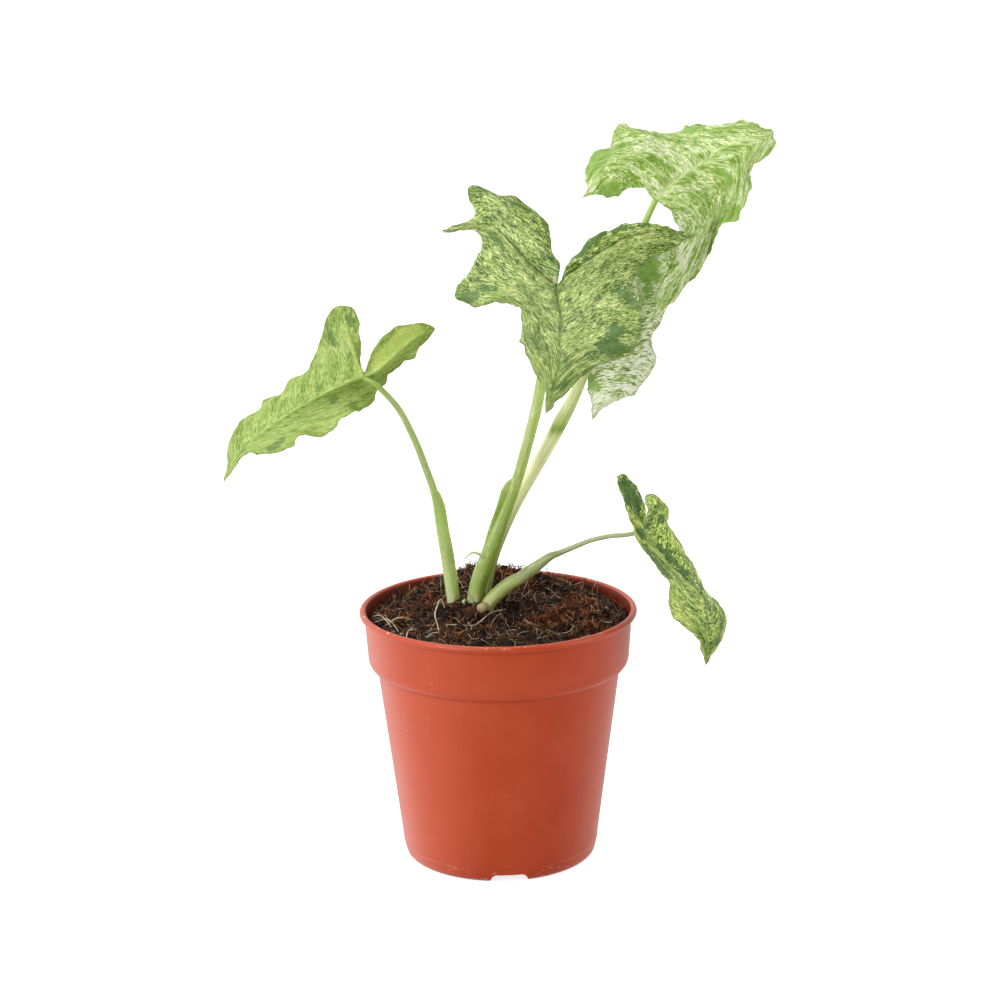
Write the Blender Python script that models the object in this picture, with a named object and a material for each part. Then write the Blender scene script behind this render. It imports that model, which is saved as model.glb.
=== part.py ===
"""Potted arrowhead vine: a nursery pot, its potting mix, four leaf stalks and five waved leaf blades.

Metres, +Z up, the pot stands on z = 0 and its front faces -Y. Leaves and stalks are described in
millimetres from the pot's own axis, and everything is moved by AXIS_X once it is built.
"""

import math
import random

import bmesh
import bpy
import numpy as np
from mathutils import Vector

# Start from an empty scene
for item in list(bpy.data.objects):
    bpy.data.objects.remove(item, do_unlink=True)

MM = 0.001
AXIS_X = -0.0040  # the pot's axis, so that the whole plant is centred on the origin
GAP = 0.3  # clearance between neighbouring pieces, mm

# Pot, in millimetres
POT_HEIGHT = 111.0
RIM_RADIUS = 60.0
WALL = 1.2
BASE_LIFT = 4.6  # underside of the base plate above the ground
FOOT_RADIUS = 39.8
NOTCH_WIDTH = 15.0
NOTCH_HEIGHT = 3.6
NOTCH_TURN = 5.0  # the front notch stands this many degrees right of the front
DRAIN_RADIUS = 4.0
POT_SEGMENTS = 48

# Potting mix, in millimetres
SOIL_RADIUS = 55.2
SOIL_LEVEL = 108.0
SOIL_RINGS = 13
SOIL_SPOKES = 48
SOIL_SIDE = [  # radius and height down the pot's wall, with its clearance
    (55.1, 101.5), (54.6, 92.0), (54.4, 89.9), (53.7, 88.6), (52.5, 87.8), (51.2, 87.0), (50.6, 85.6),
    (46.5, 50.5), (41.2, 14.5), (40.0, BASE_LIFT + WALL + GAP + 0.1),
]
FIBRE_COUNT = 28

# Blades and stalks
BLADE_THICKNESS = 0.8
BLADE_ROWS = 23  # cells along a blade, from its side rib to its tip
BLADE_COLUMNS = 5  # cells from the midrib out to the margin
NOTCH_COLUMNS = 1  # cells from a side rib to its notch
EVEN_TURNS = 60  # how often the inside of a blade is evened out between its ribs and margin
STALK_SIDES = 10


# Materials
def material(name, colour, roughness):
    made = bpy.data.materials.new(name)
    made.use_nodes = True
    shader = made.node_tree.nodes["Principled BSDF"]
    shader.inputs["Base Color"].default_value = (*colour, 1.0)
    shader.inputs["Roughness"].default_value = roughness
    return made


def add_object(name, verts_mm, faces, surface):
    """One mesh object, moved from the pot's axis to the frame, with its faces turned outward."""
    mesh = bpy.data.meshes.new(name)
    mesh.from_pydata([(x * MM + AXIS_X, y * MM, z * MM) for x, y, z in verts_mm], [], faces)
    work = bmesh.new()
    work.from_mesh(mesh)
    bmesh.ops.remove_doubles(work, verts=work.verts, dist=1e-6)
    bmesh.ops.dissolve_degenerate(work, edges=work.edges, dist=1e-6)
    bmesh.ops.recalc_face_normals(work, faces=work.faces)
    work.to_mesh(mesh)
    work.free()
    made = bpy.data.objects.new(name, mesh)
    bpy.context.scene.collection.objects.link(made)
    if surface is not None:
        mesh.materials.append(surface)
    return made


def helper(name, verts_mm, faces):
    """A cutter: hidden in renders and drawn as wire."""
    made = add_object(name, verts_mm, faces, None)
    made.hide_render = True
    made.display_type = "WIRE"
    return made


def apply_boolean(target, others, operation):
    """Cut or join a list of helpers in one exact Boolean, then remove them."""
    group = bpy.data.collections.new(target.name + "_" + operation.lower())
    bpy.context.scene.collection.children.link(group)
    for other in others:
        group.objects.link(other)
    step = target.modifiers.new(operation.lower(), "BOOLEAN")
    step.operation = operation
    step.operand_type = "COLLECTION"
    step.collection = group
    step.solver = "EXACT"
    step.use_self = True
    depsgraph = bpy.context.evaluated_depsgraph_get()
    result = bpy.data.meshes.new_from_object(target.evaluated_get(depsgraph))
    target.modifiers.clear()
    surface = target.data.materials[0]
    target.data = result
    result.materials.clear()
    result.materials.append(surface)
    for other in others:
        bpy.data.objects.remove(other, do_unlink=True)
    bpy.data.collections.remove(group)


# Curves and tubes
def knot_line(points, steps):
    """A smooth curve through the given points, with the same number of steps between each two."""
    given = np.array(points, float)
    padded = np.vstack([2 * given[0] - given[1], given, 2 * given[-1] - given[-2]])
    fine = []
    for a, b, c, d in zip(padded, padded[1:], padded[2:], padded[3:]):
        for t in np.linspace(0.0, 1.0, steps, endpoint=False):
            fine.append(
                0.5 * (2 * b + (c - a) * t + (2 * a - 5 * b + 4 * c - d) * t**2
                       + (3 * b - a - 3 * c + d) * t**3)
            )
    fine.append(given[-1])
    return np.array(fine)


def smooth_line(points, count):
    """Evenly spaced points on the smooth curve through the given ones."""
    fine = knot_line(points, 12)
    run = np.concatenate([[0.0], np.cumsum(np.linalg.norm(np.diff(fine[:, :3], axis=0), axis=1))])
    at = np.linspace(0.0, run[-1], count)
    return np.stack([np.interp(at, run, fine[:, k]) for k in range(fine.shape[1])], axis=1)


def tube(route, sides, grow=0.0, flatten=1.0):
    """Verts and faces of a closed tube; route rows are x, y, z, diameter in mm."""
    points = [Vector(row[:3]) for row in route]
    radii = [row[3] / 2 + grow for row in route]
    verts, faces = [], []
    across = Vector((1.0, 0.0, 0.0))
    for i, point in enumerate(points):
        ahead = points[min(i + 1, len(points) - 1)] - points[max(i - 1, 0)]
        ahead.normalize()
        across = (across - ahead * across.dot(ahead)).normalized()
        up = ahead.cross(across)
        for k in range(sides):
            turn = 2 * math.pi * k / sides
            offset = across * math.cos(turn) + up * math.sin(turn) * flatten
            verts.append(tuple(point + offset * radii[i]))
    for i in range(len(points) - 1):
        for k in range(sides):
            a, b = i * sides + k, i * sides + (k + 1) % sides
            faces.append((a, b, b + sides, a + sides))
    faces.append(tuple(range(sides))[::-1])
    last = (len(points) - 1) * sides
    faces.append(tuple(range(last, last + sides)))
    return verts, faces


# Pot: a lathed thin-walled nursery pot with a beaded rim, a stacking collar and a notched foot
def build_pot(surface):
    """The pot turned from its profile: radius and height down the outer wall, then up the inner one."""
    outer = [
        (57.4, 111.0), (58.7, 111.0), (59.6, 110.5), (60.0, 109.6), (59.8, 108.7), (59.0, 108.0),
        (57.9, 107.8), (57.6, 106.8), (57.5, 104.5), (57.1, 98.0), (56.6, 91.5), (56.5, 89.4),
        (56.1, 87.8), (55.2, 86.5), (54.0, 85.6), (53.0, 85.2), (52.5, 84.7), (47.2, 43.5),
        (42.8, 9.5), (42.4, 5.5), (41.3, 1.6), (39.4, 0.0),
    ]
    inner = [
        (37.4, 0.0), (37.6, BASE_LIFT), (0.0, BASE_LIFT), (0.0, BASE_LIFT + WALL),
        (40.4, BASE_LIFT + WALL), (41.6, 14.5), (46.9, 50.5), (51.0, 85.4), (51.6, 86.6),
        (52.8, 87.3), (54.0, 88.1), (54.8, 89.6), (55.0, 92.0), (55.5, 101.5), (55.9, 109.0),
    ]
    profile = outer + inner
    verts, faces = [], []
    for k in range(POT_SEGMENTS):
        turn = 2 * math.pi * k / POT_SEGMENTS
        verts += [(r * math.cos(turn), r * math.sin(turn), z) for r, z in profile]
    count = len(profile)
    for k in range(POT_SEGMENTS):
        here, there = k * count, ((k + 1) % POT_SEGMENTS) * count
        for i in range(count):
            j = (i + 1) % count
            faces.append((here + i, there + i, there + j, here + j))
    pot = add_object("pot", verts, faces, surface)
    cutters = []
    for quarter in range(4):
        middle = math.radians(-90 + NOTCH_TURN + 90 * quarter)
        cutters.append(notch_cutter(middle, quarter))
    for hole in range(6):
        turn = math.radians(60 * hole + 20)
        cutters.append(drain_cutter(27.0 * math.cos(turn), 27.0 * math.sin(turn), hole))
    apply_boolean(pot, cutters, "DIFFERENCE")
    return pot


def notch_cutter(middle, number):
    """A low arch through the foot ring: wider at the ground than at its top."""
    half_low, half_high = NOTCH_WIDTH / 2 + 1.2, NOTCH_WIDTH / 2
    outline = [(-half_low, -1.0), (half_low, -1.0), (half_high, NOTCH_HEIGHT - 1.2),
               (half_high - 1.4, NOTCH_HEIGHT), (-half_high + 1.4, NOTCH_HEIGHT),
               (-half_high, NOTCH_HEIGHT - 1.2)]
    out = Vector((math.cos(middle), math.sin(middle), 0.0))
    side = Vector((-math.sin(middle), math.cos(middle), 0.0))
    verts = []
    for reach in (33.0, 46.0):
        for across, height in outline:
            verts.append(tuple(out * reach + side * across + Vector((0.0, 0.0, height))))
    count = len(outline)
    faces = [tuple(range(count))[::-1], tuple(range(count, 2 * count))]
    for i in range(count):
        j = (i + 1) % count
        faces.append((i, j, j + count, i + count))
    return helper("notch_%d" % number, verts, faces)


def drain_cutter(x, y, number):
    low, high = BASE_LIFT - 1.0, BASE_LIFT + WALL + 1.0
    route = [(x, y, low, 2 * DRAIN_RADIUS), (x, y, high, 2 * DRAIN_RADIUS)]
    return helper("drain_%d" % number, *tube(route, 12))


# Potting mix: a lumpy block of coir that fills the pot, with holes for the stalks
def soil_height(x, y):
    """Height of the surface: heaped behind the stalks and along the back, with a lump before them."""
    heap = 7.5 * math.exp(-(((x + 10) / 20) ** 2 + ((y - 34) / 16) ** 2))
    ridge = 5.0 * math.exp(-(((x - 10) / 36) ** 2 + ((y - 43) / 12) ** 2))
    crown = 5.2 * math.exp(-(((x + 9) / 17) ** 2 + ((y - 2) / 12) ** 2))
    lump = 3.4 * math.exp(-(((x + 13) / 6) ** 2 + ((y + 7) / 4.5) ** 2))
    right_heap = 2.0 * math.exp(-(((x - 28) / 15) ** 2 + ((y + 2) / 14) ** 2))
    lumps = 0.9 * math.sin(0.42 * x + 1.1) * math.cos(0.37 * y - 0.4)
    lumps += 0.6 * math.sin(0.83 * x - 0.61 * y + 2.0)
    edge = max(0.0, (math.hypot(x, y) - 46.0) / 10.0)
    rise = heap + ridge + crown + lump + right_heap + lumps
    return SOIL_LEVEL + rise * (1 - 0.7 * edge) - 1.2 * edge


def build_soil(surface, stalk_routes):
    verts, faces = [(0.0, 0.0, soil_height(0.0, 0.0))], []
    for ring in range(1, SOIL_RINGS + 1):
        radius = SOIL_RADIUS * (ring / SOIL_RINGS) ** 0.9
        for spoke in range(SOIL_SPOKES):
            turn = 2 * math.pi * spoke / SOIL_SPOKES
            x, y = radius * math.cos(turn), radius * math.sin(turn)
            verts.append((x, y, soil_height(x, y)))
    for radius, level in SOIL_SIDE:
        for spoke in range(SOIL_SPOKES):
            turn = 2 * math.pi * spoke / SOIL_SPOKES
            verts.append((radius * math.cos(turn), radius * math.sin(turn), level))
    rows = SOIL_RINGS + len(SOIL_SIDE)
    for spoke in range(SOIL_SPOKES):
        step = (spoke + 1) % SOIL_SPOKES
        faces.append((0, 1 + spoke, 1 + step))
        for row in range(rows - 1):
            here, below = 1 + row * SOIL_SPOKES, 1 + (row + 1) * SOIL_SPOKES
            faces.append((here + spoke, below + spoke, below + step))
            faces.append((here + spoke, below + step, here + step))
    faces.append(tuple(range(1 + (rows - 1) * SOIL_SPOKES, 1 + rows * SOIL_SPOKES)))
    soil = add_object("potting_mix", verts, faces, surface)
    apply_boolean(soil, soil_fibres(stalk_routes), "UNION")
    holes = []
    for name, route in stalk_routes.items():
        root = [row for row in route if row[2] < SOIL_LEVEL + 24]
        deep = [(root[0][0], root[0][1], root[0][2] - GAP, root[0][3])] + root[1:]
        holes.append(helper("hole_" + name, *tube(deep, STALK_SIDES, grow=GAP + 0.15)))
    apply_boolean(soil, holes, "DIFFERENCE")
    return soil


def soil_fibres(stalk_routes):
    """Coarse coir fibres and root ends, thrown by a seeded rule, each sunk into the mix."""
    rule = random.Random(11)
    feet = [np.array(row[:2]) for route in stalk_routes.values() for row in route if row[2] < 128]
    made = []
    while len(made) < FIBRE_COUNT:
        radius, turn = 50.0 * math.sqrt(rule.random()), 2 * math.pi * rule.random()
        x, y = radius * math.cos(turn), radius * math.sin(turn)
        heading, length = 2 * math.pi * rule.random(), 7.0 + 9.0 * rule.random()
        rise, thick = 1.0 + 2.6 * rule.random(), 0.8 + 0.5 * rule.random()
        end = (x + length * math.cos(heading), y + length * math.sin(heading))
        near = min(min(np.hypot(*(foot - p)) for foot in feet)
                   for p in (np.array((x, y)), np.array(end), np.array(((x + end[0]) / 2,
                                                                        (y + end[1]) / 2))))
        if math.hypot(*end) > 52.0 or near < 7.0:
            continue
        bow = rule.uniform(-1.5, 1.5)
        route = []
        for share in (0.0, 0.33, 0.67, 1.0):
            px = x + length * share * math.cos(heading) - bow * math.sin(math.pi * share) * math.sin(heading)
            py = y + length * share * math.sin(heading) + bow * math.sin(math.pi * share) * math.cos(heading)
            lift = -1.6 + (rise + 1.2) * math.sin(math.pi * 0.62 * share)
            route.append((px, py, soil_height(px, py) + lift, thick))
        made.append(helper("fibre_%02d" % len(made), *tube(route, 4)))
    return made


# Leaf stalks: tapered tubes with a sheath wing on the lower part
LEFT_STALK = [
    (-20, 0, 84, 4.6), (-19.5, 0, 104, 5.0), (-19.5, 0, 113, 5.0), (-20.5, 0, 121, 5.0), (-22, 0, 132, 4.7),
    (-24.5, -1, 148, 4.0), (-26.5, -2, 161.5, 3.4), (-30, -3, 173, 3.1), (-34.5, -4.5, 186, 2.9),
    (-40.7, -6.5, 199.6, 2.7), (-47.5, -8, 208.4, 2.4), (-51.2, -7.8, 211.7, 2.2), (-54.9, -6.6, 213.5, 2.0),
]
FRONT_STALK = [
    (-11.5, 0, 84, 6.8), (-11, -0.5, 104, 7.4), (-10, -1, 112.5, 7.6), (-8.5, -1, 121.5, 7.2), (-5, -1, 132, 6.9),
    (0.5, -1, 145.5, 6.0), (5.5, -1, 158.5, 5.0), (10, -1, 172, 4.8), (13.5, 0, 184.5, 4.7), (17, 2, 197.5, 4.8),
    (19.5, 4, 210, 4.8), (22.5, 4, 225, 4.2), (25, -3, 241, 3.4), (25.3, -11.2, 252.8, 2.6),
]
REAR_STALK = [
    (-7, 14, 84, 5.2), (-6.5, 14, 106, 5.6), (-6, 14, 113.5, 5.6), (-3, 14, 128, 5.8), (2, 13, 141.5, 5.8),
    (8.5, 12, 155.5, 5.8), (16, 12, 168.5, 5.7), (23.5, 11, 182, 5.8), (28, 10, 191, 6.0), (32.5, 8, 200, 5.2),
    (39, 6, 216, 4.6), (46.5, 5, 233, 4.2), (53.5, 6, 251.5, 3.7), (59.5, 8.5, 266, 3.3),
    (64.5, 11.5, 277.5, 2.9), (67.9, 12.75, 284.5, 2.5),
]
REAR_BRANCH = [
    (26, 11.5, 186, 3.4), (30.5, 14, 193.5, 3.4), (35.5, 18, 201.5, 3.2), (41.5, 25, 216.5, 3.0),
    (48.5, 32, 233.5, 2.8), (53.5, 34, 247.5, 2.4), (56.8, 30.7, 254.8, 2.2),
]
RIGHT_STALK = [
    (-5, -9.5, 84, 4.8), (-5.5, -8, 104, 5.6), (-4.5, -6.5, 113.5, 6.0), (1, -7, 120, 6.0), (5, -8, 123.5, 5.6),
    (9.5, -8, 126, 5.2), (14, -9, 129.5, 5.0), (18, -9, 132.5, 4.4), (22.5, -10, 136, 3.4), (26.5, -10, 137.5, 2.5),
    (33, -11, 140.5, 2.2), (40, -12, 143.5, 2.0), (48, -13, 145.5, 2.0), (54.5, -14, 146.2, 2.0),
    (60, -14, 147, 1.9),
]


def wing(route, first, last, side, depth):
    """A sheath wing: a thin fin along a stalk between two heights, as deep as depth."""
    verts, faces = [], []
    line = smooth_line(route, 60)
    line = [row for row in line if first <= row[2] <= last]
    line = line[:: max(1, len(line) // 8)]
    for i, row in enumerate(line):
        share = i / (len(line) - 1)
        reach = row[3] / 2 + depth * math.sin(math.pi * (0.12 + 0.8 * share)) ** 0.5
        for out, thick in ((0.2, 0.9), (reach, 0.45)):
            for sign in (-1, 1):
                verts.append((row[0] + side[0] * out - side[1] * thick * sign,
                              row[1] + side[1] * out + side[0] * thick * sign, row[2]))
    for i in range(len(line) - 1):
        a = 4 * i
        for p, q in ((0, 1), (1, 3), (3, 2), (2, 0)):
            faces.append((a + p, a + q, a + 4 + q, a + 4 + p))
    end = 4 * (len(line) - 1)
    faces += [(0, 2, 3, 1), (end, end + 1, end + 3, end + 2)]
    return helper("wing", verts, faces)


def build_stalk(name, route, rings, surface, extras):
    made = add_object(name, *tube(smooth_line(route, rings), STALK_SIDES), surface)
    if extras:
        apply_boolean(made, extras, "UNION")
    return made


def build_stalks(surface):
    build_stalk("stalk_left", LEFT_STALK, 20, surface,
                [wing(LEFT_STALK, 117, 164, (0.97, 0.24), 2.2)])
    hook = [(-4.5, -2, 134, 1.6), (-8, -5, 136.5, 1.3), (-10, -6, 137.5, 1.2), (-12, -6.5, 136.5, 1.0),
            (-13.5, -6.5, 135, 0.9)]
    build_stalk("stalk_front", FRONT_STALK, 20, surface,
                [wing(FRONT_STALK, 128, 169, (-0.97, -0.24), 2.6),
                 helper("hook", *tube(smooth_line(hook, 8), 6))])
    build_stalk("stalk_rear", REAR_STALK, 24, surface,
                [helper("branch", *tube(smooth_line(REAR_BRANCH, 12), STALK_SIDES))])
    stub = [(-4, -7, 114, 4.4), (-6.2, -12, 115.6, 4.2)]
    build_stalk("stalk_right", RIGHT_STALK, 18, surface,
                [wing(RIGHT_STALK, 121, 137, (-0.35, 0.94), 1.4),
                 helper("stub", *tube(stub, 10))])


# Leaf blades: each spans three ribs from its junction, with two outer edges and two notch edges
BLADE_LEFT = dict(
    junction=(-56, -5, 213.5),
    midrib=[(-67, -7, 209.5), (-82.5, -9, 201.5), (-98, -10, 191.5), (-108.5, -9, 182), (-115, -8, 170)],
    left_rib=[(-60, 1, 224.5), (-63, 7, 234), (-64.5, 9, 241.5)],
    right_rib=[(-49.5, -3, 216.2), (-41, 1.5, 223), (-32.5, 5.5, 229), (-25.5, 7, 232)],
    left_edge=[(-114.5, -6, 178.5), (-113.5, -4, 185), (-111.5, -2, 190.5), (-107, 0, 195.5), (-100, 1, 199.5),
               (-98, 1.5, 203.5), (-90.5, 3, 205.5), (-87.5, 3.5, 210.5), (-81, 4, 214.5), (-78, 5, 219),
               (-75.5, 6, 224.5), (-72.5, 7.5, 234), (-70.5, 8.5, 239), (-68, 9, 241)],
    left_notch=[(-62, 9, 241.5), (-59.5, 8.5, 239.5), (-57.5, 6, 233.5), (-57, 2, 224), (-56.6, -2, 218)],
    right_edge=[(-112, -11, 175), (-108, -14, 181), (-104, -17, 184.5), (-97, -19.5, 184), (-90.5, -21, 185.5),
                (-86, -21, 187.5), (-83.5, -20, 191.5), (-80, -20, 192.5), (-76, -20, 191.5),
                (-71.5, -20, 192), (-68, -19, 194.5), (-65.5, -17, 198), (-60, -14, 200.5), (-55, -9, 201.5),
                (-52, -4, 203.5), (-50, -1, 207), (-47, 1, 209.5), (-45.5, 2, 213.5), (-42, 3, 215.5),
                (-39, 4, 218.5), (-35, 5, 219.5), (-33, 5.5, 222.5), (-29, 7, 227)],
    right_notch=[(-27.5, 7, 233.5), (-32.5, 6.5, 234.5), (-41.5, 4.5, 233.5), (-46, 3, 231), (-51.5, 0, 225.5),
                 (-54, -2.5, 219.5)],
    waves=5, wave_height=0.9,
)
BLADE_FRONT = dict(
    junction=(25.3, -12, 253.5),
    midrib=[(26, -24, 249), (27, -38, 244), (26, -50, 239), (26, -59, 233), (24, -66, 226),
            (22, -71, 220), (20, -75, 213)],
    left_rib=[(17, -6, 259), (9, 1, 267), (0, 8, 275), (-8, 13, 275), (-16, 16, 274), (-22, 18, 271)],
    right_rib=[(39, -8, 263), (46, -5, 267), (54, -2, 271), (63, 2, 273), (72, 5, 273), (84, 8, 271)],
    left_edge=[(19, -67, 221), (14, -60, 230), (11, -52, 235), (11, -44, 241), (11, -36, 247),
               (5, -28, 249), (-2, -22, 248), (-9, -17, 246), (-17, -12, 249), (-14, -6, 255),
               (-6, 2, 265), (-5, 6, 269), (-8, 12, 273)],
    left_notch=[(-13, 16, 276), (-8, 14, 280), (-11, 14, 290), (-6, 12, 291), (4, 9, 288), (11, 6, 287),
                (20, 2, 280), (24, -2, 272), (24, -5, 267), (27, -9, 260)],
    right_edge=[(26, -71, 219), (35, -65, 226), (41, -58, 229), (50, -52, 229), (56, -46, 232),
                (60, -37, 240), (60, -25, 248), (57, -14, 255), (61, -8, 262), (68, -2, 266), (77, 4, 269)],
    right_notch=[(78, 8, 274), (66, 7, 276), (55, 3, 277), (46, 0, 274), (40, -3, 271), (35, -6, 266),
                 (30, -9, 261)],
    waves=6, wave_height=1.0,
)
BLADE_TOP = dict(
    junction=(68.4, 13, 285.3),
    midrib=[(74, 22, 289), (84, 36, 294), (91, 47, 297), (101, 56, 301.5), (112, 63, 304.8), (122.7, 68, 306.8)],
    left_rib=[(64, 14, 293), (57, 12, 299), (48, 7, 299), (42, 1, 294), (36, -4, 288)],
    right_rib=[(80, 18, 282), (86, 22, 277), (88, 24, 271), (86, 24, 264), (82, 22, 257), (76, 19, 248),
               (71, 15, 239), (67, 12, 233)],
    left_edge=[(115, 69, 309.8), (108, 73, 310.5), (98, 76, 308), (88, 74, 309), (76, 64, 306), (66, 52, 308),
               (59, 44, 312), (53, 38, 314), (50, 27, 307), (43, 19, 304), (38, 9, 299), (39, 0, 293)],
    left_notch=[(43, -1, 290), (49, 3, 287), (55, 7, 290), (63, 11, 291)],
    right_edge=[(122.7, 63, 299.8), (116, 56, 294.5), (111, 51, 290), (111, 46, 285), (108, 38, 280),
                (104, 30, 273), (97, 28, 271), (94, 30, 263), (89, 28, 254), (80, 23, 243), (71, 16, 236)],
    right_notch=[(69, 13, 246), (73, 15, 256), (78, 16, 266), (77, 15, 273), (74, 14, 280)],
    waves=6, wave_height=0.9,
)
BLADE_BACK = dict(
    junction=(57.3, 29, 255.9),
    midrib=[(61, 25, 247), (63, 20, 237), (61, 15, 227), (55, 10, 216), (48, 7, 204.5), (40.8, 5, 192.2)],
    left_rib=[(52, 32, 257), (47, 34, 255), (44, 33, 250)],
    right_rib=[(65, 33, 257), (72, 37, 256), (79, 38, 252)],
    left_edge=[(40, 7, 201), (39, 9, 207), (37, 13, 217), (37, 18, 229), (40, 25, 238), (41, 30, 245)],
    left_notch=[(46, 35, 259), (52, 33, 261)],
    right_edge=[(47, 7, 198), (53, 8, 200), (59, 9, 202), (62, 10, 206), (66, 11, 211), (69, 13, 217),
                (67, 17, 223), (70, 21, 229), (75, 28, 238), (78, 34, 245)],
    right_notch=[(78, 38, 257), (71, 35, 260), (63, 31, 260)],
    waves=5, wave_height=0.8,
)
BLADE_RIGHT = dict(
    junction=(60.9, -14, 147.9),
    midrib=[(64, -15, 145), (68, -17, 140), (73, -19, 134), (80, -22, 128), (87, -25, 121), (89, -27, 113),
            (89, -28, 103), (88, -29, 92)],
    left_rib=[(59, -20, 158), (57, -26, 167), (50, -31, 176)],
    right_rib=[(65, -8, 151), (69, -1, 155), (69, 3, 158), (64, 6, 159)],
    left_edge=[(86, -31, 99), (84, -34, 106), (77, -37, 113), (72, -39, 119), (71, -39, 126), (72, -38, 132),
               (69, -36, 135), (64, -30, 140), (59.5, -22, 145), (56.6, -21, 153), (54, -26, 161),
               (51, -30, 171)],
    left_notch=[(54, -29, 176), (59, -25, 169), (62, -20, 162), (63, -17, 155)],
    right_edge=[(90, -27, 96), (95, -23, 102), (97, -18, 109), (96, -14, 113), (92, -11, 117), (88, -10, 119),
                (87, -7, 125), (82, -5, 133), (77, -4, 142), (73, -3, 148), (74, 0, 152), (72, 4, 156),
                (68, 6, 159)],
    right_notch=[(63, 1, 157), (64, -6, 153.5), (61.6, -11, 150.2)],
    waves=5, wave_height=0.7,
)


def even_out(grid, turns):
    """Slide a grid's inner points until its cells are even, which opens any fold; its border stays."""
    for _ in range(turns):
        along = (grid[2:, 1:-1] - grid[:-2, 1:-1]) / 2
        across = (grid[1:-1, 2:] - grid[1:-1, :-2]) / 2
        wide = (across * across).sum(2, keepdims=True) + 1e-6
        long = (along * along).sum(2, keepdims=True) + 1e-6
        skew = (along * across).sum(2, keepdims=True)
        corners = grid[2:, 2:] - grid[2:, :-2] - grid[:-2, 2:] + grid[:-2, :-2]
        grid[1:-1, 1:-1] = (wide * (grid[2:, 1:-1] + grid[:-2, 1:-1]) + long * (grid[1:-1, 2:] + grid[1:-1, :-2])
                            - skew / 2 * corners) / (2 * (wide + long))
    return grid


def blade_grids(blade, rows, columns, notch_columns):
    """Four grids of points: on each side, midrib to margin, then side rib to notch."""
    grids = []
    midrib = smooth_line([blade["junction"]] + blade["midrib"], rows + 1)
    share_along = np.linspace(0.0, 1.0, rows + 1)[:, None, None]
    share_out = np.linspace(0.0, 1.0, columns + 1)[None, :, None]
    share_in = np.linspace(0.0, 1.0, notch_columns + 1)[None, :, None]
    for side in ("left", "right"):
        rib = smooth_line([blade["junction"]] + blade[side + "_rib"], columns + 1)
        margin = smooth_line([tuple(rib[-1])] + blade[side + "_edge"][::-1] + [tuple(midrib[-1])], rows + 1)
        sag = rib - (1 - share_out[0]) * midrib[0] - share_out[0] * margin[0]
        half = (1 - share_out) * midrib[:, None] + share_out * margin[:, None] + (1 - share_along) * sag[None]
        grids.append(even_out(half, EVEN_TURNS))
        notch = smooth_line([blade["junction"]] + blade[side + "_notch"][::-1] + [tuple(rib[-1])], columns + 1)
        strip = (1 - share_in) * rib[:, None] + share_in * notch[:, None]
        grids.append(even_out(strip, EVEN_TURNS))
    return grids


def blade_sheet(blade):
    """Points and quads of a blade's middle surface, welded along its ribs."""
    points, quads, known = [], [], {}
    for number, grid in enumerate(blade_grids(blade, BLADE_ROWS, BLADE_COLUMNS, NOTCH_COLUMNS)):
        rows, columns = grid.shape[0] - 1, grid.shape[1] - 1
        waves = blade["waves"] if number % 2 == 0 else 3
        index = np.zeros(grid.shape[:2], int)
        for i in range(rows + 1):
            for j in range(columns + 1):
                place = grid[i, j].copy()
                swell = (j / columns) ** 2.2 * math.sin(math.pi * i / rows)
                place[1] += blade["wave_height"] * swell * math.sin(2 * math.pi * waves * i / rows + number)
                key = tuple(np.round(place, 3))
                if key not in known:
                    known[key] = len(points)
                    points.append(place)
                index[i, j] = known[key]
        for i in range(rows):
            for j in range(columns):
                quad = [index[i, j], index[i, j + 1], index[i + 1, j + 1], index[i + 1, j]]
                if number >= 2:
                    quad.reverse()
                quads.append(quad)
    return np.array(points), quads


def triangles_of(quads):
    """Split quads into triangles, dropping collapsed ones."""
    out = []
    for a, b, c, d in quads:
        for three in ((a, b, c), (a, c, d)):
            if len(set(three)) == 3:
                out.append(three)
    return out


def build_blade(name, blade, surface):
    points, quads = blade_sheet(blade)
    faces = triangles_of(quads)
    normals = np.zeros_like(points)
    for a, b, c in faces:
        turn = np.cross(points[b] - points[a], points[c] - points[a])
        for corner in (a, b, c):
            normals[corner] += turn
    normals /= np.linalg.norm(normals, axis=1, keepdims=True)
    count = len(points)
    half = BLADE_THICKNESS / 2
    verts = [tuple(p) for p in points + normals * half] + [tuple(p) for p in points - normals * half]
    used = {}
    for a, b, c in faces:
        for edge in ((a, b), (b, c), (c, a)):
            used[edge] = True
    solid = [tuple(face) for face in faces]
    solid += [(c + count, b + count, a + count) for a, b, c in faces]
    for a, b in used:
        if (b, a) not in used:
            solid += [(b, a, a + count), (b, a + count, b + count)]
    return add_object(name, verts, solid, surface)


# Build everything
terracotta = material("pot_plastic", (0.52, 0.12, 0.06), 0.42)
coir = material("coir", (0.055, 0.025, 0.014), 0.95)
stalk_green = material("stalk_green", (0.36, 0.47, 0.14), 0.45)
blade_green = material("blade_green", (0.42, 0.56, 0.20), 0.5)

build_pot(terracotta)
build_stalks(stalk_green)
build_soil(coir, {
    "left": smooth_line(LEFT_STALK, 40).tolist(),
    "front": smooth_line(FRONT_STALK, 40).tolist(),
    "rear": smooth_line(REAR_STALK, 40).tolist(),
    "right": smooth_line(RIGHT_STALK, 40).tolist(),
})
build_blade("blade_left", BLADE_LEFT, blade_green)
build_blade("blade_front", BLADE_FRONT, blade_green)
build_blade("blade_top", BLADE_TOP, blade_green)
build_blade("blade_back", BLADE_BACK, blade_green)
build_blade("blade_right", BLADE_RIGHT, blade_green)
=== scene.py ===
"""Potted arrowhead vine: a nursery pot, its coir mix, four leaf stalks and five mottled blades.

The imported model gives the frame. Sizes here are millimetres from the pot's own axis, with the front
towards -Y, and make_mesh turns them into metres in the frame.
"""

import math
import random

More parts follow.
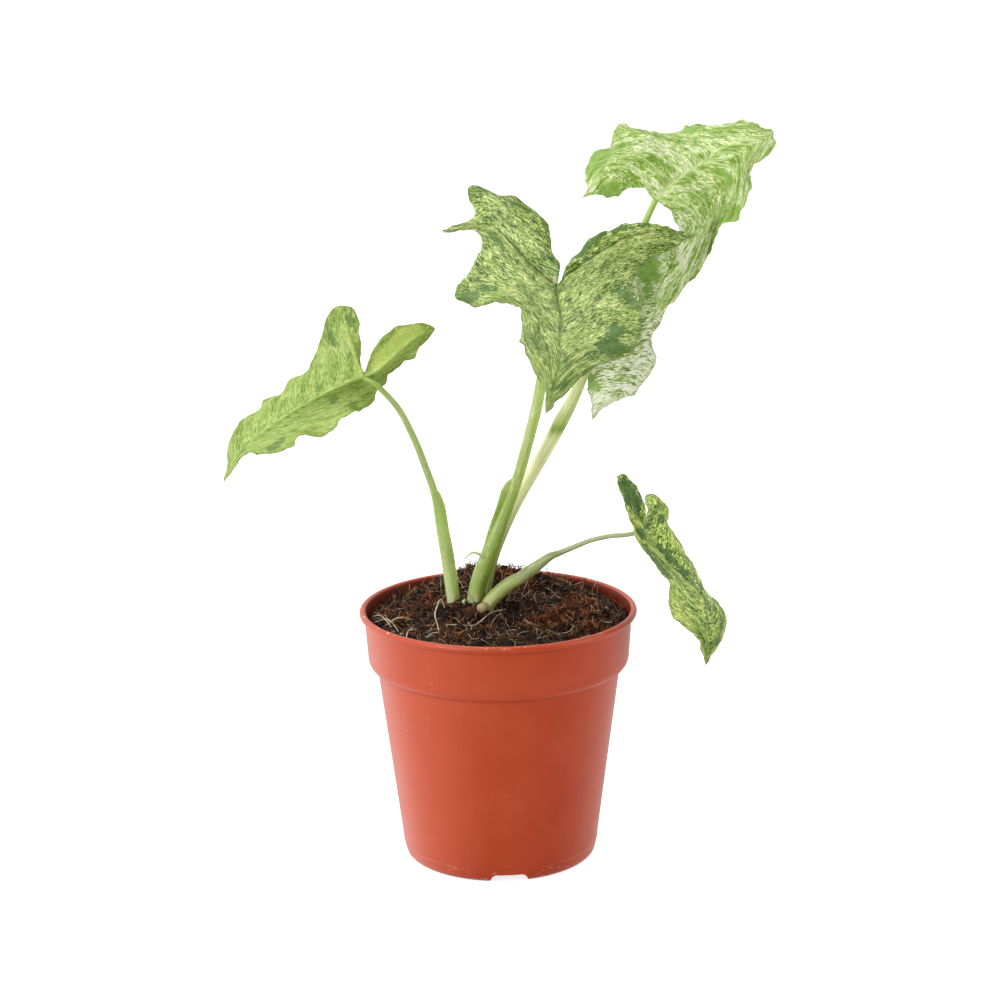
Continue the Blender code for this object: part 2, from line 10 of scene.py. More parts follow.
import bmesh
import bpy
import numpy as np
from mathutils import Matrix, Vector, noise


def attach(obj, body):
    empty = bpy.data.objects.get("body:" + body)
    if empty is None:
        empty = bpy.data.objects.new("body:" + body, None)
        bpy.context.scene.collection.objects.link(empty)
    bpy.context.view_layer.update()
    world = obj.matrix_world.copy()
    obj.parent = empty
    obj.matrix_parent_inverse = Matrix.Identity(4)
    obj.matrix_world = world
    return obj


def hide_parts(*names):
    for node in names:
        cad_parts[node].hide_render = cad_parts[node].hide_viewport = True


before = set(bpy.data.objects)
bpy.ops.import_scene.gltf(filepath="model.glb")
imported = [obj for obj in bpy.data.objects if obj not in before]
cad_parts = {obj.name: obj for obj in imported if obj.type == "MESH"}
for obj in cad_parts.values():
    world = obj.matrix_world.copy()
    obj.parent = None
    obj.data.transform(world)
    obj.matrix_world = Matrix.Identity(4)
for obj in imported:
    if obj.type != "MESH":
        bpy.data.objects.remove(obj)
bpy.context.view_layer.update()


# Pot
# A thin-walled nursery pot, injection-moulded in terracotta-coloured polypropylene: a beaded rim, a
# tall stacking collar, a tapered body, and a foot ring with four drainage notches round a raised base.
MM = 0.001
AXIS_X = -4.0  # the pot's axis in the frame
POT_SEGMENTS = 192
BASE_LIFT = 4.6  # underside of the base plate above the ground
WALL = 1.2
NOTCHES, NOTCH_WIDTH, NOTCH_HEIGHT = 4, 15.0, 3.6
NOTCH_TURN, NOTCH_FLARE = 5.0, 1.2
NOTCH_REACH = (33.0, 46.0)  # distances from the axis, inside and outside the foot ring
DRAINS, DRAIN_RADIUS, DRAIN_CIRCLE, DRAIN_TURN, DRAIN_SIDES = 6, 4.0, 27.0, 20.0, 32
CUT_PAST = 1.0  # how far a cutter stands past what it cuts
RIM_DUST, FOOT_DUST = (0.1095, 0.1109), (0.0066, 0.0058)  # heights in metres, from clean to dusty
INNER_SHADE_HEIGHT, INNER_SHADE_RADIUS = (0.095, 0.1), (0.0571, 0.0567)  # in metres, from no painted shade to full painted shade


def place_object(name, data):
    """A new object in the scene for a mesh, a light or a camera."""
    made = bpy.data.objects.new(name, data)
    bpy.context.scene.collection.objects.link(made)
    return made


def make_mesh(name, points, faces, surface=None):
    """A smooth mesh object at the origin, from points in millimetres about the pot's axis."""
    mesh = bpy.data.meshes.new(name)
    place = (np.array(points, float) + (AXIS_X, 0.0, 0.0)) * MM
    mesh.from_pydata(place.tolist(), [], faces)
    mesh.polygons.foreach_set("use_smooth", [True] * len(mesh.polygons))
    if surface is not None:
        mesh.materials.append(surface)
    return place_object(name, mesh)


def turn_outward(piece, weld=False):
    """Turn every face of a closed mesh outward, and weld points at the same place if asked."""
    work = bmesh.new()
    work.from_mesh(piece.data)
    if weld:
        bmesh.ops.remove_doubles(work, verts=work.verts, dist=1e-6)
    bmesh.ops.recalc_face_normals(work, faces=work.faces)
    work.to_mesh(piece.data)
    work.free()


def applied(piece):
    """A new mesh from a piece with its modifiers applied."""
    return bpy.data.meshes.new_from_object(piece.evaluated_get(bpy.context.evaluated_depsgraph_get()))


def fit_piece(piece, slot, *nodes):
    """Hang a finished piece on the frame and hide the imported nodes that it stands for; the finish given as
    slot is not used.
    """
    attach(piece, "root")
    if nodes:
        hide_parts(*nodes)


def paint(red, green, blue):
    """A shader colour from screen values between 0 and 255."""
    return tuple((value / 255) ** 2.2 for value in (red, green, blue)) + (1.0,)


def new_surface(name, **settings):
    """A material, its node tree and its shader, with the given plain values on the shader."""
    made = bpy.data.materials.new(name)
    made.use_nodes = True
    shader = made.node_tree.nodes["Principled BSDF"]
    for socket, value in settings.items():
        shader.inputs[socket.replace("_", " ")].default_value = value
    return made, made.node_tree, shader


def new_node(tree, kind, given, **settings):
    """A node with its settings, and with a plain value or another node's output on each given input."""
    made = tree.nodes.new(kind)
    for name, value in settings.items():
        setattr(made, name, value)
    for name, value in given.items():
        if isinstance(value, bpy.types.NodeSocket):
            tree.links.new(value, made.inputs[name])
        else:
            made.inputs[name].default_value = value
    return made


def object_place(tree):
    return new_node(tree, "ShaderNodeTexCoord", {}).outputs["Object"]


def stretched(tree, place, scale, offset=(0.0, 0.0, 0.0)):
    given = {"Vector": place, "Scale": scale, "Location": offset}
    return new_node(tree, "ShaderNodeMapping", given).outputs["Vector"]


def clouds(tree, place, scale, detail=2.0, rough=0.5, warp=0.0):
    """Noise between 0 and 1."""
    given = {"Vector": place, "Scale": scale, "Detail": detail, "Roughness": rough, "Distortion": warp}
    return new_node(tree, "ShaderNodeTexNoise", given).outputs["Fac"]


def between(tree, value, low, high, bottom=0.0, top=1.0):
    """A smooth step from bottom to top as value goes from low to high."""
    given = dict(enumerate((value, low, high, bottom, top)))
    return new_node(tree, "ShaderNodeMapRange", given, interpolation_type="SMOOTHSTEP").outputs["Result"]


def reckon(tree, operation, first, second=0.0):
    return new_node(tree, "ShaderNodeMath", {0: first, 1: second}, operation=operation).outputs["Value"]


def times(tree, first, second):
    return reckon(tree, "MULTIPLY", first, second)


def weighed(tree, *parts):
    """The sum of values, each times its weight."""
    total = times(tree, *parts[0])
    for value, weight in parts[1:]:
        total = reckon(tree, "ADD", total, times(tree, value, weight))
    return total


def blended(tree, share, first, second, how="MIX"):
    given = {"Factor": share, "A": first, "B": second}
    return new_node(tree, "ShaderNodeMix", given, data_type="RGBA", blend_type=how).outputs["Result"]


def raised(tree, shader, height, distance, strength):
    """Fine relief: height between 0 and 1 stands for distance in metres."""
    given = {"Height": height, "Distance": distance, "Strength": strength}
    tree.links.new(new_node(tree, "ShaderNodeBump", given).outputs["Normal"], shader.inputs["Normal"])


def circle(count):
    """Evenly spaced directions round a circle."""
    turns = [math.tau * k / count for k in range(count)]
    return [(math.cos(turn), math.sin(turn)) for turn in turns]


def bands(loops, count, first=0, closed=False):
    """Faces between neighbouring loops of count points; closed also joins the last to the first."""
    faces = []
    for row in range(loops if closed else loops - 1):
        here, there = first + row * count, first + (row + 1) % loops * count
        for k in range(count):
            step = (k + 1) % count
            faces.append((here + k, there + k, there + step, here + step))
    return faces


def rounded(corners, steps=4):
    """An outline with each corner (x, y, cut) rounded by a curve that starts cut before it."""
    given = [np.array(corner[:2], float) for corner in corners]
    line = []
    for i, corner in enumerate(given):
        before, after = given[i - 1], given[(i + 1) % len(given)]
        cut = corners[i][2]
        start = corner + (before - corner) * min(0.45, cut / max(np.linalg.norm(before - corner), 0.01))
        end = corner + (after - corner) * min(0.45, cut / max(np.linalg.norm(after - corner), 0.01))
        for t in np.linspace(0.0, 1.0, steps if cut > 0 else 1):
            line.append((1 - t) ** 2 * start + 2 * t * (1 - t) * corner + t**2 * end)
    return line


def prism(name, points):
    """A closed block between two equal outlines that follow each other in points."""
    count = len(points) // 2
    faces = [tuple(range(count)), tuple(range(count, 2 * count))]
    faces += [(i, (i + 1) % count, (i + 1) % count + count, i + count) for i in range(count)]
    return make_mesh(name, points, faces)


def cut_out(target, cutters):
    """Take the cutters out of a closed mesh in one exact Boolean."""
    group = bpy.data.collections.new("cutters")
    bpy.context.scene.collection.children.link(group)
    for cutter in cutters:
        turn_outward(cutter)
        group.objects.link(cutter)
    step = target.modifiers.new("cut", "BOOLEAN")
    step.operation = "DIFFERENCE"
    step.operand_type = "COLLECTION"
    step.collection = group
    step.solver = "EXACT"
    result = applied(target)
    target.modifiers.clear()
    target.data = result
    for cutter in cutters:
        bpy.data.objects.remove(cutter, do_unlink=True)
    bpy.data.collections.remove(group)


terracotta, tree, shader = new_surface("terracotta_plastic", Specular_IOR_Level=0.45)
place = object_place(tree)
axes = new_node(tree, "ShaderNodeSeparateXYZ", {"Vector": place}).outputs
mottle = clouds(tree, place, 45.0, 4.0)
colour = blended(tree, between(tree, mottle, 0.3, 0.7), paint(188, 71, 38), paint(193, 76, 42))
flow = clouds(tree, stretched(tree, place, (1.0, 1.0, 0.35)), 26.0, 2.0, 0.5, 1.2)
colour = blended(tree, between(tree, flow, 0.55, 0.8, 0.0, 0.35), colour, paint(178, 63, 33))
specks = clouds(tree, stretched(tree, place, (1.0, 1.0, 1.8)), 420.0, 3.0, 0.6)
worn = clouds(tree, place, 38.0, 3.0, 0.6)
scuff = times(tree, between(tree, specks, 0.63, 0.72), between(tree, worn, 0.52, 0.7))
colour = blended(tree, times(tree, scuff, 0.35), colour, paint(233, 178, 160))
grit = clouds(tree, place, 330.0, 4.0, 0.7)
rim_dust = times(tree, between(tree, axes["Z"], *RIM_DUST), between(tree, grit, 0.6, 0.7))
grit = clouds(tree, stretched(tree, place, (1.0, 1.0, 3.0)), 260.0, 4.0, 0.7)
foot_dust = times(tree, between(tree, axes["Z"], *FOOT_DUST), between(tree, grit, 0.56, 0.68))
dust = reckon(tree, "MAXIMUM", rim_dust, times(tree, foot_dust, 0.5))
colour = blended(tree, times(tree, dust, 0.6), colour, paint(232, 200, 186))
# the inner wall, which leans outward as it rises, is painted darker above the mix: painted shade inside the
# pot
out_x = reckon(tree, "SUBTRACT", axes["X"], AXIS_X * MM)
squares = reckon(tree, "ADD", times(tree, out_x, out_x), times(tree, axes["Y"], axes["Y"]))
lean = times(tree, reckon(tree, "SUBTRACT", axes["Z"], 0.107), 0.14)
upright = reckon(tree, "SUBTRACT", reckon(tree, "SQRT", squares), lean)
inner_wall_shade = times(tree, between(tree, upright, *INNER_SHADE_RADIUS, 0.0, 0.85), between(tree, axes["Z"], *INNER_SHADE_HEIGHT))
colour = blended(tree, inner_wall_shade, colour, paint(92, 30, 18))
tree.links.new(colour, shader.inputs["Base Color"])
tree.links.new(between(tree, mottle, 0.2, 0.8, 0.30, 0.40), shader.inputs["Roughness"])
peel = weighed(tree, (clouds(tree, place, 900.0, 2.0), 1.0), (scuff, 0.8))
raised(tree, shader, peel, 0.00004, 0.55)

# radius, height and how much of the corner is rounded, up the outside from the lip and back inside
POT_OUTLINE = [
    (58.1, 111.0, 0.3), (58.9, 111.0, 0.5), (59.7, 110.4, 0.5), (60.0, 109.6, 0.5), (59.8, 108.7, 0.5),
    (59.0, 108.0, 0.5), (57.75, 107.75, 0.25), (57.6, 106.8, 0.5), (57.5, 104.5, 0.8), (57.1, 98.0, 2.0),
    (56.6, 91.5, 1.0), (56.5, 89.4, 0.7), (56.1, 87.8, 0.7), (55.2, 86.5, 0.6), (54.0, 85.7, 0.5),
    (53.3, 85.55, 0.3), (52.9, 85.1, 0.2), (52.45, 84.75, 0.2), (52.5, 84.1, 0.2), (47.2, 43.5, 4.0),
    (42.85, 9.6, 3.0), (42.6, 6.6, 0.3), (42.2, 5.9, 0.3), (41.9, 3.4, 0.9), (41.2, 1.3, 0.8),
    (39.4, 0.0, 0.6), (37.4, 0.0, 0.4), (37.6, BASE_LIFT, 0.3), (0.0, BASE_LIFT, 0.0),
    (0.0, BASE_LIFT + WALL, 0.0), (40.4, BASE_LIFT + WALL, 0.6), (41.6, 14.5, 2.0), (46.9, 50.5, 4.0),
    (51.0, 85.4, 0.6), (51.6, 86.6, 0.5), (52.8, 87.3, 0.5), (54.0, 88.1, 0.6), (54.8, 89.6, 0.7),
    (55.0, 92.0, 1.0), (55.7, 101.5, 2.0), (56.6, 108.0, 1.2), (57.4, 110.6, 0.4),
]
outline = rounded(POT_OUTLINE)
points = [(r * c, r * s, z) for c, s in circle(POT_SEGMENTS) for r, z in outline]
pot = make_mesh("nursery_pot", points, bands(POT_SEGMENTS, len(outline), closed=True), terracotta)
turn_outward(pot, weld=True)
half = NOTCH_WIDTH / 2
arch = rounded([
    (-half - NOTCH_FLARE, -CUT_PAST, 0), (half + NOTCH_FLARE, -CUT_PAST, 0), (half, NOTCH_HEIGHT - 1.2, 0.5),
    (half - 1.4, NOTCH_HEIGHT, 0.7), (1.4 - half, NOTCH_HEIGHT, 0.7), (-half, NOTCH_HEIGHT - 1.2, 0.5),
])
cutters = []
for notch in range(NOTCHES):
    middle = math.radians(-90 + NOTCH_TURN + 360 / NOTCHES * notch)
    out = Vector((math.cos(middle), math.sin(middle), 0.0))
    side = Vector((-math.sin(middle), math.cos(middle), 0.0))
    cutters.append(prism("notch", [out * reach + side * x + Vector((0.0, 0.0, z))
                                   for reach in NOTCH_REACH for x, z in arch]))
for hole in range(DRAINS):
    turn = math.radians(360 / DRAINS * hole + DRAIN_TURN)
    x, y = DRAIN_CIRCLE * math.cos(turn), DRAIN_CIRCLE * math.sin(turn)
    cutters.append(prism("drain", [(x + DRAIN_RADIUS * c, y + DRAIN_RADIUS * s, z)
                                   for z in (BASE_LIFT - CUT_PAST, BASE_LIFT + WALL + CUT_PAST)
                                   for c, s in circle(DRAIN_SIDES)]))
cut_out(pot, cutters)
pot.data.set_sharp_from_angle(angle=math.radians(32))
fit_piece(pot, "pot_plastic", "pot")


# Potting mix
# Damp coir and bark that fills the pot and heaps up a little behind the stalks. The bed is one
# lumpy block; crumbs, fibres and hairs are thrown over it, and roots and straws lie on top.
SOIL_RADIUS = 55.3
SOIL_LEVEL = 108.0
SOIL_RINGS, SOIL_SPOKES = 62, 216
DISC_RINGS, DISC_SPOKES = 12, 36
FIBRE_SIDES, ROOT_SIDES = 3, 7
SHAPE_DRAWS = 60  # more than any collection of shapes holds; the index wraps round

# heaps behind the stalks, along the back, at the crown, before it and on the right, and mounds at the
# feet of the left and the right stalk: height, middle and reach
HEAPS = [
    (7.5, -10, 34, 20, 16), (5.0, 10, 43, 36, 12), (5.2, -9, 2, 17, 12), (3.4, -13, -7, 6, 4.5),
    (2.0, 28, -2, 15, 14),
]
MOUNDS = [(3.0, -21, -3, 7, 6), (2.2, -6, -12, 7, 5)]
# radius and level down the hidden side of the bed, inside the pot's wall
BED_SIDE = [
    (55.1, 101.5), (54.6, 92.0), (54.4, 89.9), (53.7, 88.6), (52.5, 87.8), (51.2, 87.0), (50.6, 85.6),
    (46.5, 50.5), (41.2, 14.5), (40.0, 6.2),
]


def heaped(x, y, heaps):
    """What round heaps add to the height at a place."""
    return sum(high * math.exp(-(((x - at_x) / wide) ** 2 + ((y - at_y) / deep) ** 2))
               for high, at_x, at_y, wide, deep in heaps)


def rough_height(x, y):
    """Height of the bed: heaps and lumps that sink towards the wall, and a crumbly relief."""
    lumps = 0.9 * math.sin(0.42 * x + 1.1) * math.cos(0.37 * y - 0.4)
    lumps += 0.6 * math.sin(0.83 * x - 0.61 * y + 2.0)
    edge = max(0.0, (math.hypot(x, y) - 46.0) / 10.0)
    level = SOIL_LEVEL + (heaped(x, y, HEAPS) + lumps) * (1 - 0.7 * edge) - 1.2 * edge
    grain = noise.fractal(Vector((x, y, 3.0)) * 0.16, 0.7, 2.1, 4)
    pits = noise.noise(Vector((x, y, 9.0)) * 0.3)
    inward = min(1.0, max(0.25, (56.0 - math.hypot(x, y)) / 8.0))
    return level - 0.3 + (1.9 * grain + 2.2 * min(0.0, pits + 0.05)) * inward + heaped(x, y, MOUNDS)


def keep_values(piece, name, values):
    """Keep a number on each point of a piece for its shader."""
    piece.data.attributes.new(name, "FLOAT", "POINT").data.foreach_set("value", values)


def kept_value(tree, name, output="Fac"):
    """What a piece keeps on its points under a name."""
    return new_node(tree, "ShaderNodeAttribute", {}, attribute_name=name).outputs[output]


def ramp(tree, level, tones):
    """The colour for a level, from rows of level and screen colour."""
    made = new_node(tree, "ShaderNodeValToRGB", {"Fac": level})
    stops = made.color_ramp.elements
    while len(stops) < len(tones):
        stops.new(0.5)
    for stop, (at, shade) in zip(stops, tones):
        stop.position = at
        stop.color = paint(*shade)
    return made.outputs["Color"]


def coir_surface(name, grain, tones):
    """Damp plant matter: its tone runs through the given colours, with a fine grain."""
    made, tree, shader = new_surface(name, Roughness=0.85, Specular_IOR_Level=0.25)
    patchy = clouds(tree, object_place(tree), grain, 4.0, 0.65)
    colour = ramp(tree, kept_value(tree, "tone"), tones)
    dark = blended(tree, between(tree, patchy, 0.35, 0.65, 0.0, 0.75), colour, (0.25, 0.22, 0.2, 1.0),
                   "MULTIPLY")
    tree.links.new(dark, shader.inputs["Base Color"])
    raised(tree, shader, patchy, 0.0004, 0.8)
    return made


bed_surface = coir_surface("coir_bed", 320.0, [(0.0, (14, 9, 7)), (0.5, (38, 24, 17)), (1.0, (74, 46, 31))])
points = [(0.0, 0.0, rough_height(0.0, 0.0))]
for ring in range(1, SOIL_RINGS + 1):
    radius = SOIL_RADIUS * (ring / SOIL_RINGS) ** 0.85
    points += [(radius * c, radius * s, rough_height(radius * c, radius * s)) for c, s in circle(SOIL_SPOKES)]
for radius, level in BED_SIDE:
    points += [(radius * c, radius * s, level) for c, s in circle(SOIL_SPOKES)]
rows = SOIL_RINGS + len(BED_SIDE)
faces = [(0, 1 + k, 1 + (k + 1) % SOIL_SPOKES) for k in range(SOIL_SPOKES)]
faces += bands(rows, SOIL_SPOKES, first=1)
faces.append(tuple(range(1 + (rows - 1) * SOIL_SPOKES, 1 + rows * SOIL_SPOKES)))
bed = make_mesh("coir_bed", points, faces, bed_surface)
turn_outward(bed)
keep_values(bed, "tone", [0.5 + 0.9 * noise.noise(Vector(p) * 0.11) for p in points])
fit_piece(bed, "coir", "potting_mix")


def tube(route, sides):
    """Points and faces of a closed tube; route rows are x, y, z and diameter."""
    line = [Vector(row[:3]) for row in route]
    points, faces = [], []
    across = Vector((1.0, 0.0, 0.0))
    for i, spot in enumerate(line):
        ahead = (line[min(i + 1, len(line) - 1)] - line[max(i - 1, 0)]).normalized()
        if abs(across.dot(ahead)) > 0.98:
            across = Vector((0.0, 1.0, 0.0))
        across = (across - ahead * across.dot(ahead)).normalized()
        up = ahead.cross(across)
        points += [tuple(spot + (across * c + up * s) * (route[i][3] / 2)) for c, s in circle(sides)]
    for i in range(len(line) - 1):
        for k in range(sides):
            a, b = i * sides + k, i * sides + (k + 1) % sides
            faces.append((a, b, b + sides, a + sides))
    last = (len(line) - 1) * sides
    faces += [tuple(range(sides))[::-1], tuple(range(last, last + sides))]
    return points, faces


def smooth_line(points, count):
    """Evenly spaced points on the smooth curve through the given ones."""
    given = np.array(points, float)
    padded = np.vstack([2 * given[0] - given[1], given, 2 * given[-1] - given[-2]])
    fine = []
    for a, b, c, d in zip(padded, padded[1:], padded[2:], padded[3:]):
        for t in np.linspace(0.0, 1.0, 12, endpoint=False):
            fine.append(0.5 * (2 * b + (c - a) * t + (2 * a - 5 * b + 4 * c - d) * t**2
                               + (3 * b - a - 3 * c + d) * t**3))
    fine = np.array(fine + [given[-1]])
    run = np.concatenate([[0.0], np.cumsum(np.linalg.norm(np.diff(fine[:, :3], axis=0), axis=1))])
    at = np.linspace(0.0, run[-1], count)
    return np.stack([np.interp(at, run, fine[:, k]) for k in range(fine.shape[1])], axis=1)


def scatter_tree():
    """Shapes thrown over a surface, each turned, sized and toned at random, joined into one mesh."""
    tree = bpy.data.node_groups.new("thrown_over", "GeometryNodeTree")
    for name, kind in (("Ground", "Geometry"), ("Shapes", "Collection"), ("Number per square metre", "Float"),
                       ("Smallest", "Float"), ("Largest", "Float"), ("Tilt", "Float"), ("Seed", "Int"),
                       ("Surface", "Material")):
        tree.interface.new_socket(name, in_out="INPUT", socket_type="NodeSocket" + kind)
    tree.interface.new_socket("Mesh", in_out="OUTPUT", socket_type="NodeSocketGeometry")
    given = tree.nodes.new("NodeGroupInput").outputs

    def drawn(kind, step, **limits):
        """A random value for each shape, with the seed moved on by a step."""
        limits["Seed"] = reckon(tree, "ADD", given["Seed"], step)
        return new_node(tree, "FunctionNodeRandomValue", limits, data_type=kind).outputs["Value"]

    spots = new_node(tree, "GeometryNodeDistributePointsOnFaces", {
        "Mesh": given["Ground"], "Density": given["Number per square metre"], "Seed": given["Seed"],
    }, distribute_method="RANDOM").outputs
    shapes = new_node(tree, "GeometryNodeCollectionInfo", {
        "Collection": given["Shapes"], "Separate Children": True, "Reset Children": True,
    }).outputs["Instances"]
    back = times(tree, given["Tilt"], -1.0)
    low = new_node(tree, "ShaderNodeCombineXYZ", {"X": back, "Y": back})
    high = new_node(tree, "ShaderNodeCombineXYZ", {"X": given["Tilt"], "Y": given["Tilt"], "Z": math.tau})
    swing = drawn("FLOAT_VECTOR", 0.0, Min=low.outputs["Vector"], Max=high.outputs["Vector"])
    turn = new_node(tree, "FunctionNodeEulerToRotation", {"Euler": swing}).outputs["Rotation"]
    turned = new_node(tree, "FunctionNodeRotateRotation", {"Rotation": spots["Rotation"], "Rotate By": turn},
                      rotation_space="LOCAL").outputs["Rotation"]
    placed = new_node(tree, "GeometryNodeInstanceOnPoints", {
        "Points": spots["Points"], "Instance": shapes, "Pick Instance": True, "Rotation": turned,
        "Instance Index": drawn("INT", 0.0, Max=SHAPE_DRAWS),
        "Scale": drawn("FLOAT", 17.0, Min=given["Smallest"], Max=given["Largest"]),
    }).outputs["Instances"]
    toned = new_node(tree, "GeometryNodeStoreNamedAttribute", {
        "Geometry": placed, "Name": "tone", "Value": drawn("FLOAT", 41.0),
    }, data_type="FLOAT", domain="INSTANCE").outputs["Geometry"]
    real = new_node(tree, "GeometryNodeRealizeInstances", {"Geometry": toned})
    finish = new_node(tree, "GeometryNodeSetMaterial", {
        "Geometry": real.outputs["Geometry"], "Material": given["Surface"]})
    new_node(tree, "NodeGroupOutput", {"Mesh": finish.outputs["Geometry"]})
    return tree


thrown_over = scatter_tree()


def ground_disc(x, y, reach, lift):
    """A round patch of the bed's surface to throw things over."""
    points = []
    for ring in range(DISC_RINGS + 1):
        for c, s in circle(DISC_SPOKES):
            here = (x + reach * ring / DISC_RINGS * c, y + reach * ring / DISC_RINGS * s)
            points.append((*here, rough_height(*here) + lift))
    return make_mesh("ground", points, bands(DISC_RINGS + 1, DISC_SPOKES))


def throw(name, disc, shapes, number, sizes, tilt, seed, surface):
    """Throw shapes over a disc of the bed (x, y, reach and lift), and keep the result as one piece."""
    ground = ground_disc(*disc)
    group = bpy.data.collections.new(name + "_shapes")
    for shape in shapes:
        bpy.context.scene.collection.objects.unlink(shape)
        group.objects.link(shape)
    step = ground.modifiers.new("throw", "NODES")
    step.node_group = thrown_over
    settings = {"Shapes": group, "Number per square metre": number, "Smallest": sizes[0], "Largest": sizes[1],
                "Tilt": tilt, "Seed": seed, "Surface": surface}
    for label, value in settings.items():
        step[thrown_over.interface.items_tree[label].identifier] = value
    made = place_object(name, applied(ground))
    for spent in (ground, *shapes):
        bpy.data.objects.remove(spent, do_unlink=True)
    bpy.data.collections.remove(group)
    return made


def crumb_shapes(count, reach):
    """Small rounded lumps with dents, each about reach millimetres across."""
    made = []
    for _ in range(count):
        work = bmesh.new()
        bmesh.ops.create_icosphere(work, subdivisions=1, radius=0.5)
        flat = (rule.uniform(0.7, 1.3), rule.uniform(0.6, 1.0), rule.uniform(0.45, 0.8))
        for vert in work.verts:
            push = rule.uniform(0.72, 1.2)
            vert.co = Vector([c * f * push * reach * MM for c, f in zip(vert.co, flat)])
        mesh = bpy.data.meshes.new("crumb")
        work.to_mesh(mesh)
        work.free()
        made.append(place_object("crumb", mesh))
    return made


def fibre_shape(length, thick, bend, knots):
    """One bent fibre, tapered at both ends, lying along x through the origin."""
    route, heading, rise = [], 0.0, 0.0
    spot = Vector((0.0, 0.0, 0.0))
    turn_rate, rise_rate = rule.uniform(-bend, bend), rule.uniform(-bend, bend) * 0.6
    for i in range(knots):
        taper = 0.35 + 0.65 * math.sin(math.pi * (0.12 + 0.8 * (i / (knots - 1))))
        route.append((spot.x, spot.y, spot.z, thick * taper))
        heading += turn_rate + rule.uniform(-bend, bend) * 0.6
        rise += rise_rate + rule.uniform(-bend, bend) * 0.4
        spot = spot + Vector((math.cos(heading), math.sin(heading), math.sin(rise))) * (length / knots)
    points, faces = tube(route, FIBRE_SIDES)
    middle = np.mean(np.array(points), axis=0)
    return make_mesh("fibre", np.array(points) - middle - (AXIS_X, 0.0, 0.0), faces)


def fibre_shapes(count, length, thick, bend, knots=7):
    return [fibre_shape(length, thick, bend, knots) for _ in range(count)]


def join_pieces(name, pieces, surface):
    """One mesh from several that share a material."""
    work = bmesh.new()
    for piece in pieces:
        work.from_mesh(piece.data)
    mesh = bpy.data.meshes.new(name)
    work.to_mesh(mesh)
    work.free()
    mesh.materials.append(surface)
    mesh.polygons.foreach_set("material_index", [0] * len(mesh.polygons))
    made = place_object(name, mesh)
    for piece in pieces:
        bpy.data.objects.remove(piece, do_unlink=True)
    return made


rule = random.Random(5)
crumb_tones = coir_surface("coir_crumbs", 900.0, [
    (0.0, (14, 9, 7)), (0.45, (34, 21, 15)), (0.82, (64, 38, 26)), (0.97, (96, 60, 40)),
    (1.0, (150, 118, 90))])
fibre_tones = coir_surface("coir_fibres", 500.0, [
    (0.0, (40, 22, 15)), (0.35, (92, 50, 30)), (0.65, (142, 78, 44)), (0.88, (178, 112, 66)),
    (1.0, (220, 190, 144))])
husk_tones = coir_surface("coir_husk", 600.0, [
    (0.0, (92, 46, 25)), (0.5, (156, 82, 44)), (0.85, (190, 114, 66)), (1.0, (214, 164, 112))])
pale_tones = coir_surface("pale_hairs", 300.0, [
    (0.0, (140, 112, 76)), (0.5, (194, 166, 122)), (1.0, (244, 232, 204))])

ON_BED, OVER_BED = (0.0, 0.0, 54.0, -0.1), (0.0, 0.0, 53.0, 0.7)
crumbs = throw("coir_crumbs", ON_BED, crumb_shapes(10, 2.4), 200000.0, (0.35, 1.25), 3.0, 3, crumb_tones)
lumps = throw("coir_lumps", ON_BED, crumb_shapes(8, 5.4), 15000.0, (0.45, 1.15), 3.0, 31, crumb_tones)
fit_piece(join_pieces("coir_crumbs", [crumbs, lumps], crumb_tones), "coir")
flat = fibre_shapes(14, 9.5, 0.42, 0.36)
loose = [throw("flat_fibres", ON_BED, flat, 250000.0, (0.35, 1.0), 0.4, 7, fibre_tones)]
bent = fibre_shapes(10, 8.0, 0.4, 0.5)
loose.append(throw("loose_fibres", ON_BED, bent, 90000.0, (0.4, 1.1), 0.95, 9, fibre_tones))
# tufts that stand up from the bed: x, y and reach
TUFTS = [
    (28.0, 45.0, 7.0), (41.0, 36.0, 6.0), (-42.0, 30.0, 7.0), (-50.0, 4.0, 5.0), (-8.0, 45.0, 9.0),
    (12.0, 47.0, 7.0),
]
for number, tuft in enumerate(TUFTS):
    loose.append(throw("tuft", (*tuft, 1.2), fibre_shapes(8, 7.5, 0.34, 0.3), 190000.0, (0.5, 1.2), 1.5,
                       50 + number, fibre_tones))
fit_piece(join_pieces("coir_fibres", loose, fibre_tones), "coir")
hairs = throw("pale_hairs", OVER_BED, fibre_shapes(10, 12.0, 0.3, 0.4, 9), 46000.0, (0.35, 1.1), 0.6, 12,
              pale_tones)
fit_piece(hairs, "coir")

# clumps of coarse husk fibre: x, y, reach and number per square metre
HUSKS = [
    (30.0, -10.0, 12.0, 300000.0), (17.0, -20.0, 8.0, 260000.0), (-43.0, -6.0, 6.0, 300000.0),
    (37.0, 12.0, 9.0, 150000.0), (-33.0, 16.0, 8.0, 150000.0), (8.0, 30.0, 10.0, 190000.0),
    (-20.0, -36.0, 7.0, 120000.0), (42.0, -26.0, 7.0, 200000.0), (-8.0, 36.0, 7.0, 190000.0),
]
clumps = []
for number, (x, y, reach, amount) in enumerate(HUSKS):
    clumps.append(throw("husk_part", (x, y, reach, 0.9), fibre_shapes(8, 6.5, 0.42, 0.5), amount, (0.5, 1.25),
                        0.9, 20 + number, husk_tones))

